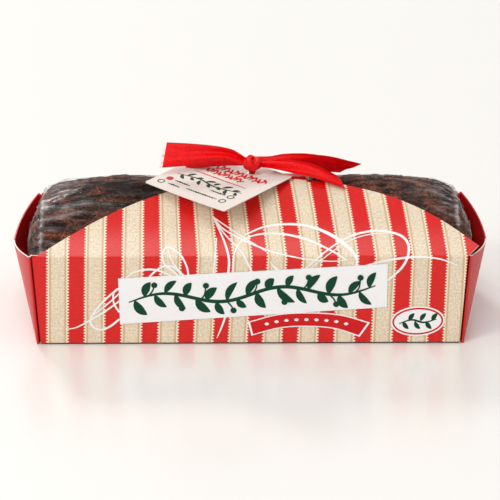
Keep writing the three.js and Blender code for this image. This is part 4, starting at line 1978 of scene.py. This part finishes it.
@dataclass
class GiftTag:
    """A square white card on the ridge, threaded by the knot, with printed dots, rules and a sprig."""

    palette: Palette

    # The line of one curl, in shares of its width and of its rise.
    CURL = ((-2.0, -1.0), (0.0, 1.0), (2.0, -0.6), (3.6, 0.4))

    def place(self, u: np.ndarray, v: np.ndarray, lift: float = 0.0) -> np.ndarray:
        """Points of the card's upper face, which is turned, tilted and a little bent.

        Args:
            u: across the card.
            v: up the card.
            lift: how far off it the points are.

        Returns:
            The points.
        """
        bend = TAG.bend * (u / (TAG.side / 2)) ** 2 - TAG.sag
        x, y = turned(u, v, TAG.turn)
        return points_of(x, *turned(y, bend + lift + TAG.thickness / 2, TAG.tilt)) + TAG.centre

    def _outline(self) -> np.ndarray:
        """The rounded square, as points round it.

        Returns:
            The points, evenly spread, without the first one again.
        """
        quarter = np.arange(4)[:, None] * math.pi / 2
        angle = quarter + np.linspace(0, math.pi / 2, 7)
        diagonal = quarter + math.pi / 4
        centres = (TAG.side / 2 - TAG.corner) * math.sqrt(2) * points_of(np.cos(diagonal), np.sin(diagonal))
        corners = (centres + TAG.corner * points_of(np.cos(angle), np.sin(angle))).reshape(-1, 2)
        corners = np.vstack([corners, corners[:1]])
        run = np.r_[0, np.cumsum(np.linalg.norm(np.diff(corners, axis=0), axis=1))]
        even = np.unique(np.r_[run, np.linspace(0, run[-1], 120)])[:-1]
        return points_of(*(np.interp(even, run, side) for side in corners.T))

    def build(self) -> None:
        """Make the card as rings from the hole out to the edge, then its print."""
        outline = self._outline()
        hole = np.array(turned(TAG.hole[0] - TAG.centre[0], TAG.hole[1] - TAG.centre[1], -TAG.turn))
        rim = hole + TAG.hole_radius * unit(outline - hole)
        share = np.linspace(0, 1, 22)[:, None, None] ** 1.2
        place = rim * (1 - share) + outline * share
        points = self.place(place[..., 0], place[..., 1])
        card = mesh_from("gift_tag", [Patch(points, place, columns_close=True)], self.palette.tag)
        face_outward(card)
        give_thickness(card, TAG.thickness)
        place_in_pack(card, "tag")
        self._print()

    def _print(self) -> None:
        """Two rows of red curls, a red rule, a green sprig, and rings and waved rules below."""
        red = Pen(self, step=0.005, thickness=0.03)
        for start, end, level, size in ((-9.0, 20.0, 11.4, 1.0), (-11.0, 11.0, 6.0, 0.85)):
            for k, at in enumerate(np.arange(start, end, 4.4 * size)):
                rise = 2.1 * size * (1 if k % 2 else -1)
                curl = np.array(self.CURL) * (size, rise) + (at, level)
                red.stroke(curl, (0.6, 1.5 * size, 0.8, 1.2 * size, 0.4), 40)
                red.disc((at + size, level - rise), (0.75 * size, 0.75 * size))
        self._waved(red, -16.5, 17.0, 0.6, 0.35, 0.45)
        red.disc((-19.2, -14.4), (1.8, 1.8))
        red.finish("tag_red_print", self.palette.red_ink, "tag", "tag_card")
        green = Pen(self, step=0.005, thickness=0.03)
        green.stroke([(-20, -7.6), (-8, -5.4), (4, -7.4), (19, -5.0)], (0.5, 1.0, 0.9, 0.5), 80)
        for k, along in enumerate(np.linspace(-17.5, 16.5, 13)):
            side = 1 if k % 2 else -1
            angle = side * (48.0 + 14.0 * math.sin(2.1 * k))
            green.leaf((along, -6.4), angle, 4.6 + 1.1 * math.cos(1.3 * k), 1.9, 0.12 * side)
        for centre in ((-20.4, -19.4), (17.8, -11.8), (17.4, -17.6)):
            green.disc(centre, (1.9, 1.9), inner=0.74)
        rules = ((-16, -6, -14.4), (-16.5, -9, -19.0), (5.0, 14.5, -11.8), (-5.5, 14.0, -17.8))
        for left, right, level in rules:
            self._waved(green, left, right, level, 0.55, 0.6)
        green.finish("tag_green_print", self.palette.green_ink, "tag", "tag_card")

    @staticmethod
    def _waved(pen: Pen, left: float, right: float, level: float, height: float, width: float) -> None:
        """Draw a waved rule.

        Args:
            pen: what draws it.
            left: where it starts.
            right: where it ends.
            level: how far up the card it is.
            height: how far it swings to each side.
            width: the stroke's width.
        """
        along = np.linspace(left, right, max(int((right - left) / 0.4), 8))
        swing = height * np.sin(4.2 * along) * (0.7 + 0.3 * np.sin(1.3 * along))
        widths = (0.5 * width, width, width, 0.5 * width)
        pen.stroke(points_of(along, level + swing), widths, 3 * len(along))


# ---------------------------------------------------------------- the studio


@dataclass(frozen=True)
class Lamp:
    """A square soft lamp that faces the pack: its place and side are in metres, its power in watts."""

    name: str
    place: Triple
    side: float
    power: float
    aim: Triple = (0.0, 0.0, 0.05)
    warmth: Triple = (1.0, 0.985, 0.96)

    def hang(self) -> None:
        """Put the lamp in the scene."""
        light = bpy.data.lights.new(self.name, "AREA")
        light.size = self.side
        light.energy = self.power
        light.color = self.warmth
        lamp = bpy.data.objects.new(self.name, light)
        lamp.location = self.place
        towards = np.array(self.aim) - np.array(self.place)
        flat = math.hypot(towards[0], towards[1])
        lamp.rotation_euler = (math.atan2(flat, -towards[2]), 0.0, math.atan2(-towards[0], towards[1]))
        bpy.context.scene.collection.objects.link(lamp)


@dataclass
class Studio:
    """A pale table, soft lamps, an even sky and the camera. Its lengths are in metres."""

    camera_elevation: float = 23.76
    camera_distance: float = 1.5794
    aim_height: float = 0.0322
    roll: float = -0.183
    lens: float = 229.03
    sky_strength: float = 0.745
    table_reach: float = 3.0
    table_level: float = -0.00005
    lamps: tuple[Lamp, ...] = (
        Lamp("key lamp", (-2.3, -1.9, 2.1), 1.0, 43.0),
        Lamp("top lamp", (-0.3, -1.15, 3.2), 1.1, 22.0),
        Lamp("back lamp", (-1.1, 2.4, 1.75), 0.5, 32.0),
    )

    def build(self) -> None:
        """Set the table, the sky, the lamps and the camera."""
        self._floor()
        self._sky()
        for lamp in self.lamps:
            lamp.hang()
        self._camera()

    def _floor(self) -> None:
        """A flat table top, far wider than the view."""
        along = np.linspace(-self.table_reach, self.table_reach, 3) / MM
        points = points_of(along[None, :], along[:, None], self.table_level / MM)
        finish = Clouded("pale table", tone(238, 237, 234), 6.0, 0.01, roughness=0.27, specular=1.0, ior=1.75)
        floor = mesh_from("table_top", [Patch(points)], finish.material())
        LOG.info("table_top: stage")

    def _sky(self) -> None:
        """A slightly warm white all round, a little brighter at the horizon."""
        world = bpy.data.worlds.new("soft box")
        world.use_nodes = True
        wiring = Wiring(world.node_tree)
        upward = wiring.result("SeparateXYZ", 2, {0: wiring.node("TexCoord").outputs["Generated"]})
        height = wiring.ramp(upward, 0.1, 0.9)
        sky = world.node_tree.nodes["Background"]
        low, high = (1.0, 0.985, 0.965, 1.0), (0.9, 0.89, 0.875, 1.0)
        wiring.feed(sky.inputs["Color"], wiring.blend(height, low, high))
        sky.inputs["Strength"].default_value = self.sky_strength
        bpy.context.scene.world = world

    def _camera(self) -> None:
        """The camera, level with a slight roll."""
        lens = bpy.data.cameras.new("camera")
        lens.lens = self.lens
        lens.sensor_width = 36.0
        lens.clip_end = 20.0
        camera = bpy.data.objects.new("camera", lens)
        lift = math.radians(self.camera_elevation)
        camera.location = (
            0.0,
            -self.camera_distance * math.cos(lift),
            self.aim_height + self.camera_distance * math.sin(lift),
        )
        tip, roll = math.pi / 2 - lift, math.radians(self.roll)
        camera.rotation_mode = "QUATERNION"
        camera.rotation_quaternion = (
            math.cos(tip / 2) * math.cos(roll / 2),
            math.sin(tip / 2) * math.cos(roll / 2),
            -math.sin(tip / 2) * math.sin(roll / 2),
            math.cos(tip / 2) * math.sin(roll / 2),
        )
        bpy.context.scene.collection.objects.link(camera)
        scene = bpy.context.scene
        scene.camera = camera
        scene.view_settings.view_transform = "Standard"
        scene.view_settings.look = "None"


def main() -> None:
    """Build the pack and the studio around it."""
    logging.basicConfig(level=logging.INFO, format="%(name)s: %(message)s")
    palette = Palette.mixed()
    front = LongSide(Facing.FRONT, palette).build()
    back = LongSide(Facing.BACK, palette).build()
    for end in End:
        GussetEnd(end, palette).build()
    CartonBase(palette).build()
    FrontPrint(front, palette).build()
    WrappedCake(palette, front, back).build()
    Ribbon(palette).build()
    GiftTag(palette).build()
    Studio().build()


if __name__ == "__main__":
    main()
